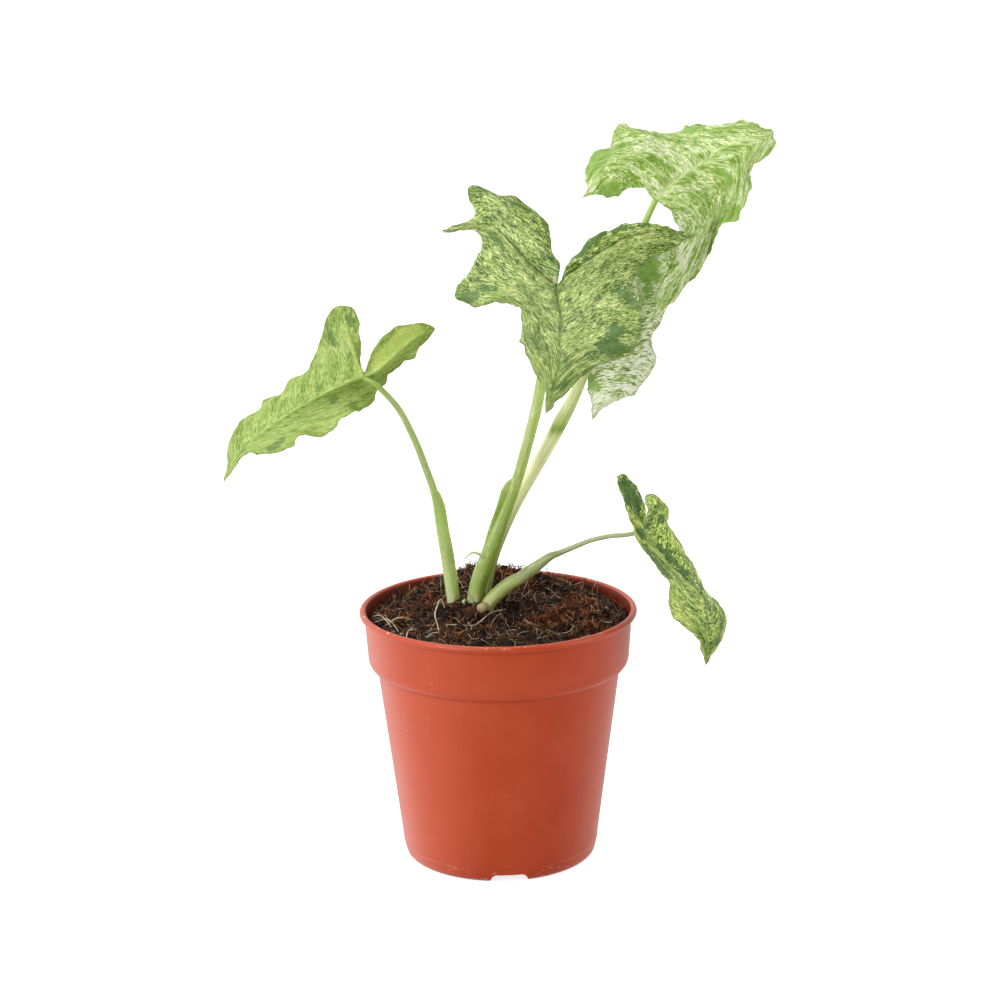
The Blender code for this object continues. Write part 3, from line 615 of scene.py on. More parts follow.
# pale roots and straws on top of the bed: x, y, height over the bed and thickness
ROOTS = [
    [(-23.0, -5, 0.3, 0.5), (-24.6, -4.5, 3.6, 0.62), (-26.4, -8, 4.2, 0.62), (-27.0, -14, 2.2, 0.6),
     (-25.8, -21, 0.9, 0.5), (-24.8, -29, 0.2, 0.3)],
    [(-22.5, -22, 0.3, 0.3), (-17, -20, 0.9, 0.42), (-10, -18, 1.1, 0.48), (-3, -13, 1.1, 0.45),
     (3.5, -4, 0.7, 0.35)],
    [(-40, -13, 0.4, 0.3), (-36.7, -22, 1.0, 0.42), (-34, -33, 0.4, 0.3)],
    [(-32, -38, 0.3, 0.3), (-28, -33, 1.2, 0.45), (-24.6, -32.5, 0.4, 0.3)],
    [(25, 5, 0.4, 0.3), (29, -7, 1.4, 0.4), (26.3, -18, 0.4, 0.3)],
    [(43.4, -15.5, 0.4, 0.3), (47, -19, 1.1, 0.4), (49.5, -12, 0.4, 0.3)],
    [(-12, -36, 0.3, 0.3), (-7.7, -39, 1.1, 0.42), (-2.7, -38, 0.4, 0.3)],
    [(9.4, -6, 0.4, 0.3), (12.7, -17.5, 1.3, 0.42), (17.7, -23.5, 0.4, 0.3)],
    [(-54, -3, 1.0, 0.35), (-50, -9, 2.6, 0.45), (-44, -22, 0.5, 0.4)],
    [(-53, -10, 0.6, 0.3), (-47, -14, 2.4, 0.4), (-41, -29, 0.4, 0.3)],
    [(-50, -17, 0.4, 0.3), (-43, -12, 1.8, 0.4), (-37, -11, 0.3, 0.3)],
    [(-39, -36, 0.3, 0.4), (-38, -31, 2.8, 0.5), (-35.5, -25, 0.4, 0.3)],
    [(31, -39, 0.3, 0.3), (37, -35, 1.4, 0.36), (43, -33, 0.3, 0.3)],
    [(24, -30, 0.3, 0.3), (30, -27, 1.5, 0.34), (33, -18, 0.3, 0.3)],
]
strands = []
for rows in ROOTS:
    line = [(x, y, rough_height(x, y) + lift, thick) for x, y, lift, thick in rows]
    points, faces = tube(smooth_line(line, 6 * len(line)).tolist(), ROOT_SIDES)
    strands.append(make_mesh("root", points, faces))
    keep_values(strands[-1], "tone", [rule.uniform(0.75, 1.0)] * len(points))
fit_piece(join_pieces("pale_roots", strands, pale_tones), "coir")
fit_piece(join_pieces("husk_clumps", clumps, husk_tones), "coir")


# Leaf stalks
# Four fleshy stalks from one crown. Each is a tapered green tube, and a thin sheath wing clasps three of
# them low down; the rear one forks at a node, and the front one has a small hooked root.
STALK_SIDES = 28
WING_ROWS, WING_COLUMNS, WING_WAVE = 160, 5, 0.35
WING_END = 0.14  # share of a wing's length over which its top rounds off

# x, y, z and diameter up each stalk
LEFT_STALK = [
    (-20, 0, 84, 4.6), (-19.5, 0, 104, 5.0), (-19.5, 0, 113, 5.0), (-20.5, 0, 121, 5.0), (-22, 0, 132, 4.7),
    (-24.5, -1, 148, 4.0), (-26.5, -2, 161.5, 3.4), (-30, -3, 173, 3.1), (-34.5, -4.5, 186, 2.9),
    (-40.7, -6.5, 199.6, 2.7), (-47.5, -8, 208.4, 2.4), (-51.2, -7.8, 211.7, 2.2), (-55.4, -6.2, 213.5, 2.0),
]
FRONT_STALK = [
    (-11.5, 0, 84, 6.8), (-11, -0.5, 104, 7.4), (-10, -1, 112.5, 7.6), (-8.5, -1, 121.5, 7.2),
    (-5, -1, 132, 6.9), (0.5, -1, 145.5, 6.0), (5.5, -1, 158.5, 5.0), (10, -1, 172, 4.8),
    (13.5, 0, 184.5, 4.7), (17, 2, 197.5, 4.8), (19.5, 4, 210, 4.8), (22.5, 4, 225, 4.2), (25, -3, 241, 3.4),
    (25.3, -11.4, 253.2, 2.6),
]
REAR_STALK = [
    (-7, 14, 84, 5.2), (-6.5, 14, 106, 5.6), (-6, 14, 113.5, 5.6), (-3, 14, 128, 5.8), (2, 13, 141.5, 5.8),
    (8.5, 12, 155.5, 5.8), (16, 12, 168.5, 5.7), (23.5, 11, 182, 5.8), (28, 10, 191, 6.0),
    (32.5, 8, 200, 5.2), (39, 6, 216, 4.6), (46.5, 5, 233, 4.2), (53.5, 6, 251.5, 3.7),
    (59.5, 8.5, 266, 3.3), (64.5, 11.5, 277.5, 2.9), (68.2, 12.9, 285.0, 2.6),
]
REAR_BRANCH = [
    (26, 11.5, 186, 3.4), (30.5, 14, 193.5, 3.4), (35.5, 18, 201.5, 3.2), (41.5, 25, 216.5, 3.0),
    (48.5, 32, 233.5, 2.8), (53.5, 34, 247.5, 2.4), (57.0, 30.0, 255.4, 2.2),
]
RIGHT_STALK = [
    (-5, -9.5, 84, 4.8), (-5.5, -8, 104, 5.6), (-4.5, -6.5, 113.5, 6.0), (1, -7, 120, 6.0),
    (5, -8, 123.5, 5.6), (9.5, -8, 126, 5.2), (14, -9, 129.5, 5.0), (18, -9, 132.5, 4.4),
    (22.5, -10, 136, 3.4), (26.5, -10, 137.5, 2.5), (33, -11, 140.5, 2.2), (40, -12, 143.5, 2.0),
    (48, -13, 145.5, 2.0), (54.5, -14, 146.2, 2.0), (60.4, -14, 147.4, 1.9),
]
HOOKED_ROOT = [
    (-5.5, -3.5, 134, 1.5), (-8.5, -5.5, 136.4, 1.2), (-10.5, -6, 137, 1.1), (-12.5, -6.5, 136, 0.9),
    (-14, -6.5, 134.4, 0.6),
]
SHEATH_REMNANT = [(-15.5, -2.5, 110, 2.4), (-15.0, -3.0, 113.4, 2.2), (-14.2, -3.2, 115.2, 1.0)]
OLD_STEM = [
    (-4.6, -7.4, 113.2, 4.2), (-6.2, -9.6, 113.6, 4.3), (-7.4, -11.6, 113.6, 4.1), (-7.7, -12.1, 113.6, 3.2),
]

# the tint on each point gives the colour, with painted light and shade that make a stalk's left and right
# sides differ, and fine lines along the stalk
stalk_flesh, tree, shader = new_surface("stalk_flesh", Roughness=0.33, Specular_IOR_Level=0.5)
along = new_node(tree, "ShaderNodeUVMap", {}, uv_map="along").outputs["UV"]
lines = clouds(tree, stretched(tree, along, (2.4, 0.035, 1.0)), 1.0, 2.0, 0.6)
mottle = clouds(tree, stretched(tree, along, (1.6, 0.16, 1.0)), 1.0, 3.0, 0.6)
colour = blended(tree, between(tree, lines, 0.46, 0.62, 0.0, 0.55), kept_value(tree, "tint_and_side_shade", "Color"),
                 (0.62, 0.74, 0.5, 1.0), "MULTIPLY")
colour = blended(tree, between(tree, mottle, 0.52, 0.68, 0.0, 0.4), colour, paint(228, 236, 184))
tree.links.new(colour, shader.inputs["Base Color"])
raised(tree, shader, lines, 0.00012, 0.5)


def tint_with_side_shade(piece, side_shaded_tints, plain):
    """Colour a stalk by rows of height, left colour and right colour; the two sides differ by painted light
    and shade. Plain holds parts' own colours.
    """
    heights = [row[0] for row in side_shaded_tints]
    left, right = (np.array([paint(*row[side]) for row in side_shaded_tints]) for side in (1, 2))
    shades = []
    for vert, own in zip(piece.data.vertices, plain):
        if own is not None:
            shades += paint(*own)
            continue
        # the right side's colour takes over as a point faces right: painted light and shade
        share = 0.5 + 0.5 * max(-1.0, min(1.0, vert.normal.x * 1.3))
        share = share * share * (3 - 2 * share)
        for k in range(4):
            one, two = (np.interp(vert.co.z / MM, heights, side[:, k]) for side in (left, right))
            shades.append(one * (1 - share) + two * share)
    piece.data.color_attributes.new("tint_and_side_shade", "FLOAT_COLOR", "POINT").data.foreach_set("color", shades)


def stalk_part(route, rings):
    """Points and faces of a stalk's tube with a faint ridged section."""
    line = smooth_line(route, rings)
    points, faces = tube(line.tolist(), STALK_SIDES)
    grid = np.array(points).reshape(rings, STALK_SIDES, 3)
    middle = line[:, None, :3]
    ridges = 1 + 0.04 * np.cos(5 * math.tau * np.arange(STALK_SIDES) / STALK_SIDES)[None, :, None]
    return (middle + (grid - middle) * ridges).reshape(-1, 3).tolist(), faces


def nub_part(route, rings, sides, shade):
    """Points, faces and plain colour of a small part that grows from a stalk."""
    return (*tube(smooth_line(route, rings).tolist(), sides), shade)


def wing_part(route, first, last, side, depth, start):
    """A sheath wing: a thin curved fin along a stalk, deepest and rounded off at its top."""
    line = [row for row in smooth_line(route, WING_ROWS) if first <= row[2] <= last]
    points, faces = [], []
    out_way = np.array([side[0], side[1], 0.0])
    flat_way = np.array([-side[1], side[0], 0.0])
    for i, row in enumerate(line):
        share = i / (len(line) - 1)
        swell = min(1.0, (1.0 - share) / WING_END) ** 0.5
        swell *= start + (1.0 - start) * math.sin(math.pi / 2 * share)
        root, reach = row[3] * 0.3, row[3] / 2 + depth * swell
        for k in range(WING_COLUMNS):
            part = k / (WING_COLUMNS - 1)
            out = root + (reach - root) * part
            bend = WING_WAVE * math.sin(0.35 * i + 1.0) * part**2
            thick = 0.75 * (1 - part) + 0.2
            for sign in (-1, 1):
                points.append(tuple(row[:3] + out_way * out + flat_way * (bend + sign * thick)))
    wide = 2 * WING_COLUMNS
    for i in range(len(line) - 1):
        for k in range(WING_COLUMNS - 1):
            a, b = i * wide + 2 * k, i * wide + 2 * (k + 1)
            faces.append((a, a + wide, b + wide, b))
            faces.append((a + 1, b + 1, b + wide + 1, a + wide + 1))
        a, b = i * wide, i * wide + 2 * (WING_COLUMNS - 1)
        faces.append((a, a + 1, a + wide + 1, a + wide))
        faces.append((b, b + wide, b + wide + 1, b + 1))
    for base in (0, (len(line) - 1) * wide):
        for k in range(base, base + 2 * (WING_COLUMNS - 1), 2):
            faces.append((k, k + 2, k + 3, k + 1))
    return points, faces


def make_stalk(name, packed, parts, side_shaded_tints):
    """Join a stalk's tube, wing and small parts into one piece, with a map that runs along it."""
    points, faces, plain, spread = [], [], [], []
    for more_points, more_faces, *shade in parts:
        around = len(more_points) if shade else STALK_SIDES
        spread += [(5.0 * math.sin(math.pi * (k % around) / around), spot[2])
                   for k, spot in enumerate(more_points)]
        faces += [tuple(index + len(points) for index in face) for face in more_faces]
        points += [tuple(spot) for spot in more_points]
        plain += [shade[0] if shade else None] * len(more_points)
    made = make_mesh(name, points, faces, stalk_flesh)
    turn_outward(made)
    tint_with_side_shade(made, side_shaded_tints, plain)
    layer = made.data.uv_layers.new(name="along")
    for loop in made.data.loops:
        layer.data[loop.index].uv = spread[loop.vertex_index]
    fit_piece(made, "stalk_green", packed)


# each stalk's rows: height, then the colours of its left and right sides, which hold painted light and shade
# as well as the stalk's own colour
make_stalk("left_stalk", "stalk_left", [
    stalk_part(LEFT_STALK, 110),
    wing_part(LEFT_STALK, 112, 164, (0.97, 0.24), 1.7, 0.4),
], [
    (84, (225, 232, 190), (210, 220, 156)), (112, (225, 235, 190), (208, 222, 146)),
    (122, (206, 226, 154), (200, 222, 128)), (135, (184, 204, 126), (196, 220, 122)),
    (150, (176, 196, 112), (192, 220, 120)), (162, (166, 188, 98), (164, 192, 84)),
    (175, (178, 192, 124), (154, 176, 98)), (192, (172, 190, 118), (160, 184, 92)),
    (205, (168, 186, 110), (162, 180, 100)), (214, (142, 174, 66), (140, 174, 66)),
])
make_stalk("front_stalk", "stalk_front", [
    stalk_part(FRONT_STALK, 120),
    wing_part(FRONT_STALK, 134, 169, (-0.97, -0.24), 3.1, 0.0),
    nub_part(HOOKED_ROOT, 16, 10, (222, 224, 168)),
    nub_part(SHEATH_REMNANT, 8, 10, (206, 204, 156)),
], [
    (84, (214, 216, 160), (160, 165, 100)), (112, (204, 212, 146), (150, 162, 86)),
    (122, (160, 186, 92), (132, 158, 58)), (132, (160, 180, 96), (150, 182, 66)),
    (146, (162, 184, 98), (136, 168, 50)), (158, (160, 180, 94), (148, 180, 62)),
    (172, (164, 182, 102), (168, 192, 90)), (184, (179, 190, 116), (170, 196, 94)),
    (200, (174, 190, 110), (178, 204, 100)), (225, (166, 184, 100), (165, 190, 90)),
    (254, (160, 184, 100), (140, 172, 70)),
])
make_stalk("rear_stalk", "stalk_rear", [
    stalk_part(REAR_STALK, 140),
    stalk_part(REAR_BRANCH, 60),
], [
    (84, (225, 225, 170), (180, 184, 110)), (118, (222, 222, 156), (180, 184, 100)),
    (128, (222, 222, 150), (195, 198, 108)), (142, (244, 242, 170), (240, 242, 168)),
    (165, (254, 250, 196), (248, 248, 182)), (183, (255, 254, 204), (240, 240, 164)),
    (185.5, (206, 216, 134), (186, 200, 104)), (187, (150, 176, 78), (128, 158, 56)),
    (189, (166, 190, 90), (146, 174, 70)), (190.5, (190, 206, 134), (172, 198, 96)),
    (200, (218, 221, 160), (194, 204, 132)), (215, (206, 212, 146), (180, 192, 118)),
    (250, (186, 206, 114), (160, 190, 84)), (268, (196, 212, 120), (150, 184, 70)),
    (288, (184, 214, 108), (138, 186, 56)),
])
make_stalk("right_stalk", "stalk_right", [
    stalk_part(RIGHT_STALK, 110),
    wing_part(RIGHT_STALK, 121, 137, (-0.35, 0.94), 1.8, 0.3),
    nub_part(OLD_STEM, 10, 20, (176, 160, 118)),
], [
    (84, (190, 178, 136), (160, 150, 108)), (113, (190, 182, 130), (176, 172, 110)),
    (118, (172, 184, 108), (200, 215, 125)), (124, (148, 164, 88), (205, 222, 138)),
    (128, (136, 148, 80), (168, 180, 106)), (132, (134, 146, 78), (184, 198, 140)),
    (136, (138, 150, 84), (160, 178, 116)), (138, (158, 168, 112), (150, 166, 112)),
    (141, (162, 172, 122), (174, 190, 136)), (146, (178, 190, 138), (172, 188, 134)),
    (149, (168, 184, 114), (150, 172, 102)),
])


# Leaf blades
# Five arrow-shaped blades, thin and slightly fleshy, with a midrib, two side ribs and crinkled
# edges. Each is mottled in its own way, and its ribs stand proud on the underside.
BLADE_ROWS, BLADE_COLUMNS, NOTCH_COLUMNS = 132, 38, 12
EVEN_TURNS = 500
NOTCH_WAVES = 3
VEIN_GAP = 9.0  # between side veins along the midrib
MAP_GAP = 400  # keeps the maps of a blade's two sides apart
THICKNESS, QUILT_HEIGHT = 0.42, 0.55
RIB_WIDTH, RIB_HEIGHT = 0.75, 0.75  # on the underside
GROOVE_WIDTH, GROOVE_DEPTH = 0.9, 0.45  # over each rib
noise.seed_set(1)  # the vector noise of the blades' edges is otherwise seeded by the clock

BLADE_LEFT = dict(
    junction=(-56, -5, 213.5),
    midrib=[(-67, -7, 209.5), (-82.5, -9, 201.5), (-98, -10, 191.5), (-108.5, -9, 182), (-115, -8, 170)],
    left_rib=[(-60, 1, 224.5), (-63, 7, 234), (-64.5, 9, 241.5)],
    right_rib=[(-49.5, -3, 216.2), (-41, 1.5, 223), (-32.5, 5.5, 229), (-25.5, 7, 232)],
    left_edge=[(-114.5, -6, 178.5), (-113.5, -4, 185), (-111.5, -2, 190.5), (-107, 0, 195.5),
               (-100, 1, 199.5), (-98, 1.5, 203.5), (-90.5, 3, 205.5), (-87.5, 3.5, 210.5),
               (-81, 4, 214.5), (-78, 5, 219),
               (-75.5, 6, 224.5), (-72.5, 7.5, 234), (-70.5, 8.5, 239), (-68, 9, 241)],
    left_notch=[(-62, 9, 241.5), (-59.5, 8.5, 239.5), (-57.5, 6, 233.5), (-57, 2, 224), (-56.6, -2, 218)],
    right_edge=[(-112, -11, 175), (-108, -14, 181), (-104, -17, 184.5), (-97, -19.5, 184),
                (-90.5, -21, 185.5), (-86, -21, 187.5), (-83.5, -20, 191.5), (-80, -20, 192.5),
                (-76, -20, 191.5),
                (-71.5, -20, 192), (-68, -19, 194.5), (-65.5, -17, 198), (-60, -14, 200.5), (-55, -9, 201.5),
                (-52, -4, 203.5), (-50, -1, 207), (-47, 1, 209.5), (-45.5, 2, 213.5), (-42, 3, 215.5),
                (-39, 4, 218.5), (-35, 5, 219.5), (-33, 5.5, 222.5), (-29, 7, 227)],
    right_notch=[(-27.5, 7, 233.5), (-32.5, 6.5, 234.5), (-41.5, 4.5, 233.5), (-46, 3, 231),
                 (-51.5, 0, 225.5), (-54, -2.5, 219.5)],
    waves=5, wave_height=0.9, upper=(0.2, 0.9, 0.5),
)
BLADE_FRONT = dict(
    junction=(25.3, -12, 253.5),
    midrib=[(26, -24, 249), (27, -38, 244), (26, -50, 239), (26, -59, 233), (24, -66, 226),
            (22, -71, 220), (20, -75, 213)],
    left_rib=[(17, -6, 259), (9, 1, 267), (0, 8, 275), (-8, 13, 275), (-16, 16, 274), (-22, 18, 271)],
    right_rib=[(39, -8, 263), (46, -5, 267), (54, -3, 271), (63, -1, 273), (72, 1, 273), (84, 2, 271)],
    left_edge=[(19, -67, 221), (14, -60, 230), (11, -52, 235), (11, -44, 241), (11, -36, 247),
               (5, -28, 249), (-2, -22, 248), (-9, -17, 246), (-17, -12, 249), (-14, -6, 255),
               (-6, 2, 265), (-5, 6, 269), (-8, 12, 273)],
    left_notch=[(-13, 16, 276), (-8, 14, 280), (-11, 14, 290), (-6, 12, 291), (4, 9, 288), (11, 6, 287),
                (20, 2, 280), (24, -2, 272), (24, -5, 267), (27, -9, 260)],
    right_edge=[(26, -71, 219), (35, -65, 226), (41, -58, 229), (50, -52, 229), (56, -46, 232),
                (60, -37, 240), (60, -25, 248), (57, -14, 255), (61, -9, 260.5), (68, -5, 264.5),
                (77, -1, 268)],
    right_notch=[(78, 3, 273.5), (66, 2, 276), (55, 0, 277), (46, -2, 274), (40, -3, 271), (35, -6, 266),
                 (30, -9, 261)],
    waves=6, wave_height=1.0, upper=(0.0, -0.7, 0.7),
)
BLADE_TOP = dict(
    junction=(68.4, 13, 285.3),
    midrib=[(74, 22, 289), (84, 36, 294), (91, 47, 297), (101, 56, 301.5), (112, 63, 304.8),
            (122.7, 68, 306.8)],
    left_rib=[(64, 14, 293), (57, 12, 299), (48, 7, 299), (42, 1, 294), (36, -4, 288)],
    right_rib=[(80, 18, 282), (86, 22, 277), (88, 24, 271), (86, 24, 264), (82, 22, 257), (76, 19, 248),
               (71, 15, 239), (67, 12, 233)],
    left_edge=[(115, 69, 309.8), (108, 73, 310.5), (98, 76, 308), (88, 74, 309), (76, 64, 306), (66, 52, 308),
               (59, 44, 312), (53, 38, 314), (50, 27, 307), (43, 19, 304), (38, 9, 299), (39, 0, 293)],
    left_notch=[(43, -1, 290), (49, 3, 287), (55, 7, 290), (63, 11, 291)],
    right_edge=[(122.7, 63, 299.8), (116, 56, 294.5), (111, 51, 290), (111, 46, 285), (108, 38, 280),
                (104, 30, 273), (97, 28, 271), (94, 30, 263), (89, 28, 254), (80, 23, 243), (71, 16, 236)],
    right_notch=[(69, 13, 246), (73, 15, 256), (78, 16, 266), (77, 15, 273), (74, 14, 280)],
    waves=6, wave_height=0.9, upper=(0.0, 0.6, 0.8),
)
BLADE_BACK = dict(
    junction=(57.3, 29, 255.9),
    midrib=[(61, 25, 247), (63, 20, 237), (61, 15, 227), (55, 10, 216), (48, 7, 204.5), (40.8, 5, 192.2)],
    left_rib=[(52, 32, 257), (47, 34, 255), (44, 33, 250)],
    right_rib=[(65, 33, 257), (72, 37, 256), (79, 38, 252)],
    left_edge=[(40, 7, 201), (39, 9, 207), (37, 13, 217), (37, 18, 229), (40, 25, 238), (41, 30, 245)],
    left_notch=[(46, 35, 259), (52, 33, 261)],
    right_edge=[(47, 7, 198), (53, 8, 200), (59, 9, 202), (62, 10, 206), (66, 11, 211), (69, 13, 217),
                (67, 17, 223), (70, 21, 229), (75, 28, 238), (78, 34, 245)],
    right_notch=[(80, 38, 261), (74, 36, 266.5), (64, 32, 265)],
    waves=5, wave_height=0.8, upper=(0.0, -0.9, 0.3),
)
BLADE_RIGHT = dict(
    junction=(60.9, -14, 147.9),
    midrib=[(64, -15, 145), (68, -17, 140), (73, -19, 134), (80, -22, 128), (87, -25, 121), (89, -27, 113),
            (89, -28, 103), (88, -29, 92)],
    left_rib=[(59, -20, 158), (57, -26, 167), (50, -31, 176)],
    right_rib=[(65, -8, 151), (69, -1, 155), (69, 3, 158), (64, 6, 159)],
    left_edge=[(86, -31, 99), (84, -34, 106), (77, -37, 113), (72, -39, 119), (71, -39, 126), (72, -38, 132),
               (69, -36, 135), (64, -30, 140), (59.5, -22, 145), (56.6, -21, 153), (54, -26, 161),
               (51, -30, 171)],
    left_notch=[(54, -29, 176), (59, -25, 169), (62, -20, 162), (63, -17, 155)],
    right_edge=[(90, -27, 96), (95, -23, 102), (97, -18, 109), (96, -14, 113), (92, -11, 117), (88, -10, 119),
                (87, -7, 125), (82, -5, 133), (77, -4, 142), (73, -3, 148), (74, 0, 152), (72, 4, 156),
                (68, 6, 159)],
    right_notch=[(63, 1, 157), (64, -6, 153.5), (61.6, -11, 150.2)],
    waves=5, wave_height=0.7, upper=(0.5, -0.8, 0.2),
)


def even_out(grid):
    """Slide a grid's inner points until its cells are even, which opens any fold; its border stays."""
    for _ in range(EVEN_TURNS):
        above, below, before, after = grid[2:, 1:-1], grid[:-2, 1:-1], grid[1:-1, 2:], grid[1:-1, :-2]
        along, across = (above - below) / 2, (before - after) / 2
        wide = (across * across).sum(2, keepdims=True) + 1e-6
        long = (along * along).sum(2, keepdims=True) + 1e-6
        skew = (along * across).sum(2, keepdims=True)
        corners = grid[2:, 2:] - grid[2:, :-2] - grid[:-2, 2:] + grid[:-2, :-2]
        moved = wide * (above + below) + long * (before + after) - skew / 2 * corners
        grid[1:-1, 1:-1] = moved / (2 * (wide + long))
    return grid


def blade_grids(blade):
    """Four grids of points: on each side, midrib to margin, then side rib to notch."""
    grids = []
    foot = [blade["junction"]]
    midrib = smooth_line(foot + blade["midrib"], BLADE_ROWS + 1)
    share_along = np.linspace(0.0, 1.0, BLADE_ROWS + 1)[:, None, None]
    share_out = np.linspace(0.0, 1.0, BLADE_COLUMNS + 1)[None, :, None]
    share_in = np.linspace(0.0, 1.0, NOTCH_COLUMNS + 1)[None, :, None]
    for side in ("left", "right"):
        rib = smooth_line(foot + blade[side + "_rib"], BLADE_COLUMNS + 1)
        ends = tuple(rib[-1]), tuple(midrib[-1])
        margin = smooth_line([ends[0]] + blade[side + "_edge"][::-1] + [ends[1]], BLADE_ROWS + 1)
        sag = rib - (1 - share_out[0]) * midrib[0] - share_out[0] * margin[0]
        half = (1 - share_out) * midrib[:, None] + share_out * margin[:, None] + (1 - share_along) * sag[None]
        grids.append(even_out(half))
        notch = smooth_line(foot + blade[side + "_notch"][::-1] + [ends[0]], BLADE_COLUMNS + 1)
        grids.append(even_out((1 - share_in) * rib[:, None] + share_in * notch[:, None]))
    return grids


def near_capsule(spots, start, end, reach):
    """How deep points lie in a round-ended patch: 1 on its line, 0 at twice its reach."""
    a, b = np.array(start, float), np.array(end, float)
    along = np.clip(((spots - a) @ (b - a)) / max((b - a) @ (b - a), 1e-6), 0.0, 1.0)
    gap = np.linalg.norm(spots - a - along[:, None] * (b - a), axis=1)
    return np.clip(1.0 - gap / (2 * reach), 0.0, 1.0)


def run_length(grid, axis):
    """How far each point of a grid lies along its own row or column."""
    step = np.linalg.norm(np.diff(grid, axis=axis), axis=2)
    first = np.zeros_like(np.take(grid, [0], axis)[..., 0])
    return np.concatenate([first, np.cumsum(step, axis=axis)], axis=axis)


def blade_sheet(blade):
    """A blade's middle surface, welded along its ribs, with its map and each point's own values.

    The values are how far the nearest rib and the margin are, how near the point is to a side vein,
    and how far out along its rib it lies.
    """
    points, quads, maps, values, known = [], [], [], [], {}
    for number, grid in enumerate(blade_grids(blade)):
        rows, columns = grid.shape[0] - 1, grid.shape[1] - 1
        outer = number % 2 == 0
        waves = blade["waves"] if outer else NOTCH_WAVES
        along, across = run_length(grid, 0), run_length(grid, 1)
        index = np.zeros(grid.shape[:2], int)
        flow = np.zeros(grid.shape[:2] + (2,))
        for i in range(rows + 1):
            for j in range(columns + 1):
                place = grid[i, j].copy()
                swell = (j / columns) ** 2.2 * math.sin(math.pi * i / rows)
                place[1] += blade["wave_height"] * swell * math.sin(2 * math.pi * waves * i / rows + number)
                vein_run = 0.4 * along[i, 0] + 0.6 * along[i, j]
                to_margin = across[i, -1] - across[i, j]
                if outer:
                    flow[i, j] = (vein_run + MAP_GAP * number, across[i, j])
                else:
                    flow[i, j] = (MAP_GAP * (number - 1) - across[i, j], along[i, 0])
                key = tuple(np.round(place, 3))
                if key not in known:
                    known[key] = len(points)
                    points.append(place)
                    if outer:
                        out = max(i / rows if across[i, j] < along[i, j] else j / columns, 0.0)
                        phase = (vein_run % VEIN_GAP) / VEIN_GAP
                        values.append((min(across[i, j], along[i, j]), min(to_margin, (1 - i / rows) * 40.0),
                                       1 - abs(phase - 0.5) * 2, out))
                    else:
                        values.append((across[i, j], to_margin, 0.0, i / rows))
                index[i, j] = known[key]
        for i in range(rows):
            for j in range(columns):
                cell = ((i, j), (i, j + 1), (i + 1, j + 1), (i + 1, j))
                quad = [(index[corner], flow[corner]) for corner in cell]
                kept = [corner for k, corner in enumerate(quad) if corner[0] != quad[k - 1][0]]
                if len(kept) < 3:
                    continue
                if number >= 2:
                    kept.reverse()
                quads.append([corner[0] for corner in kept])
                maps.append([corner[1] for corner in kept])
    return np.array(points), quads, maps, np.array(values).T


def point_normals(points, quads):
    normals = np.zeros_like(points)
    for quad in quads:
        turn = np.cross(points[quad[1]] - points[quad[0]], points[quad[2]] - points[quad[0]])
        for corner in quad:
            normals[corner] += turn
    return normals / np.maximum(np.linalg.norm(normals, axis=1, keepdims=True), 1e-9)


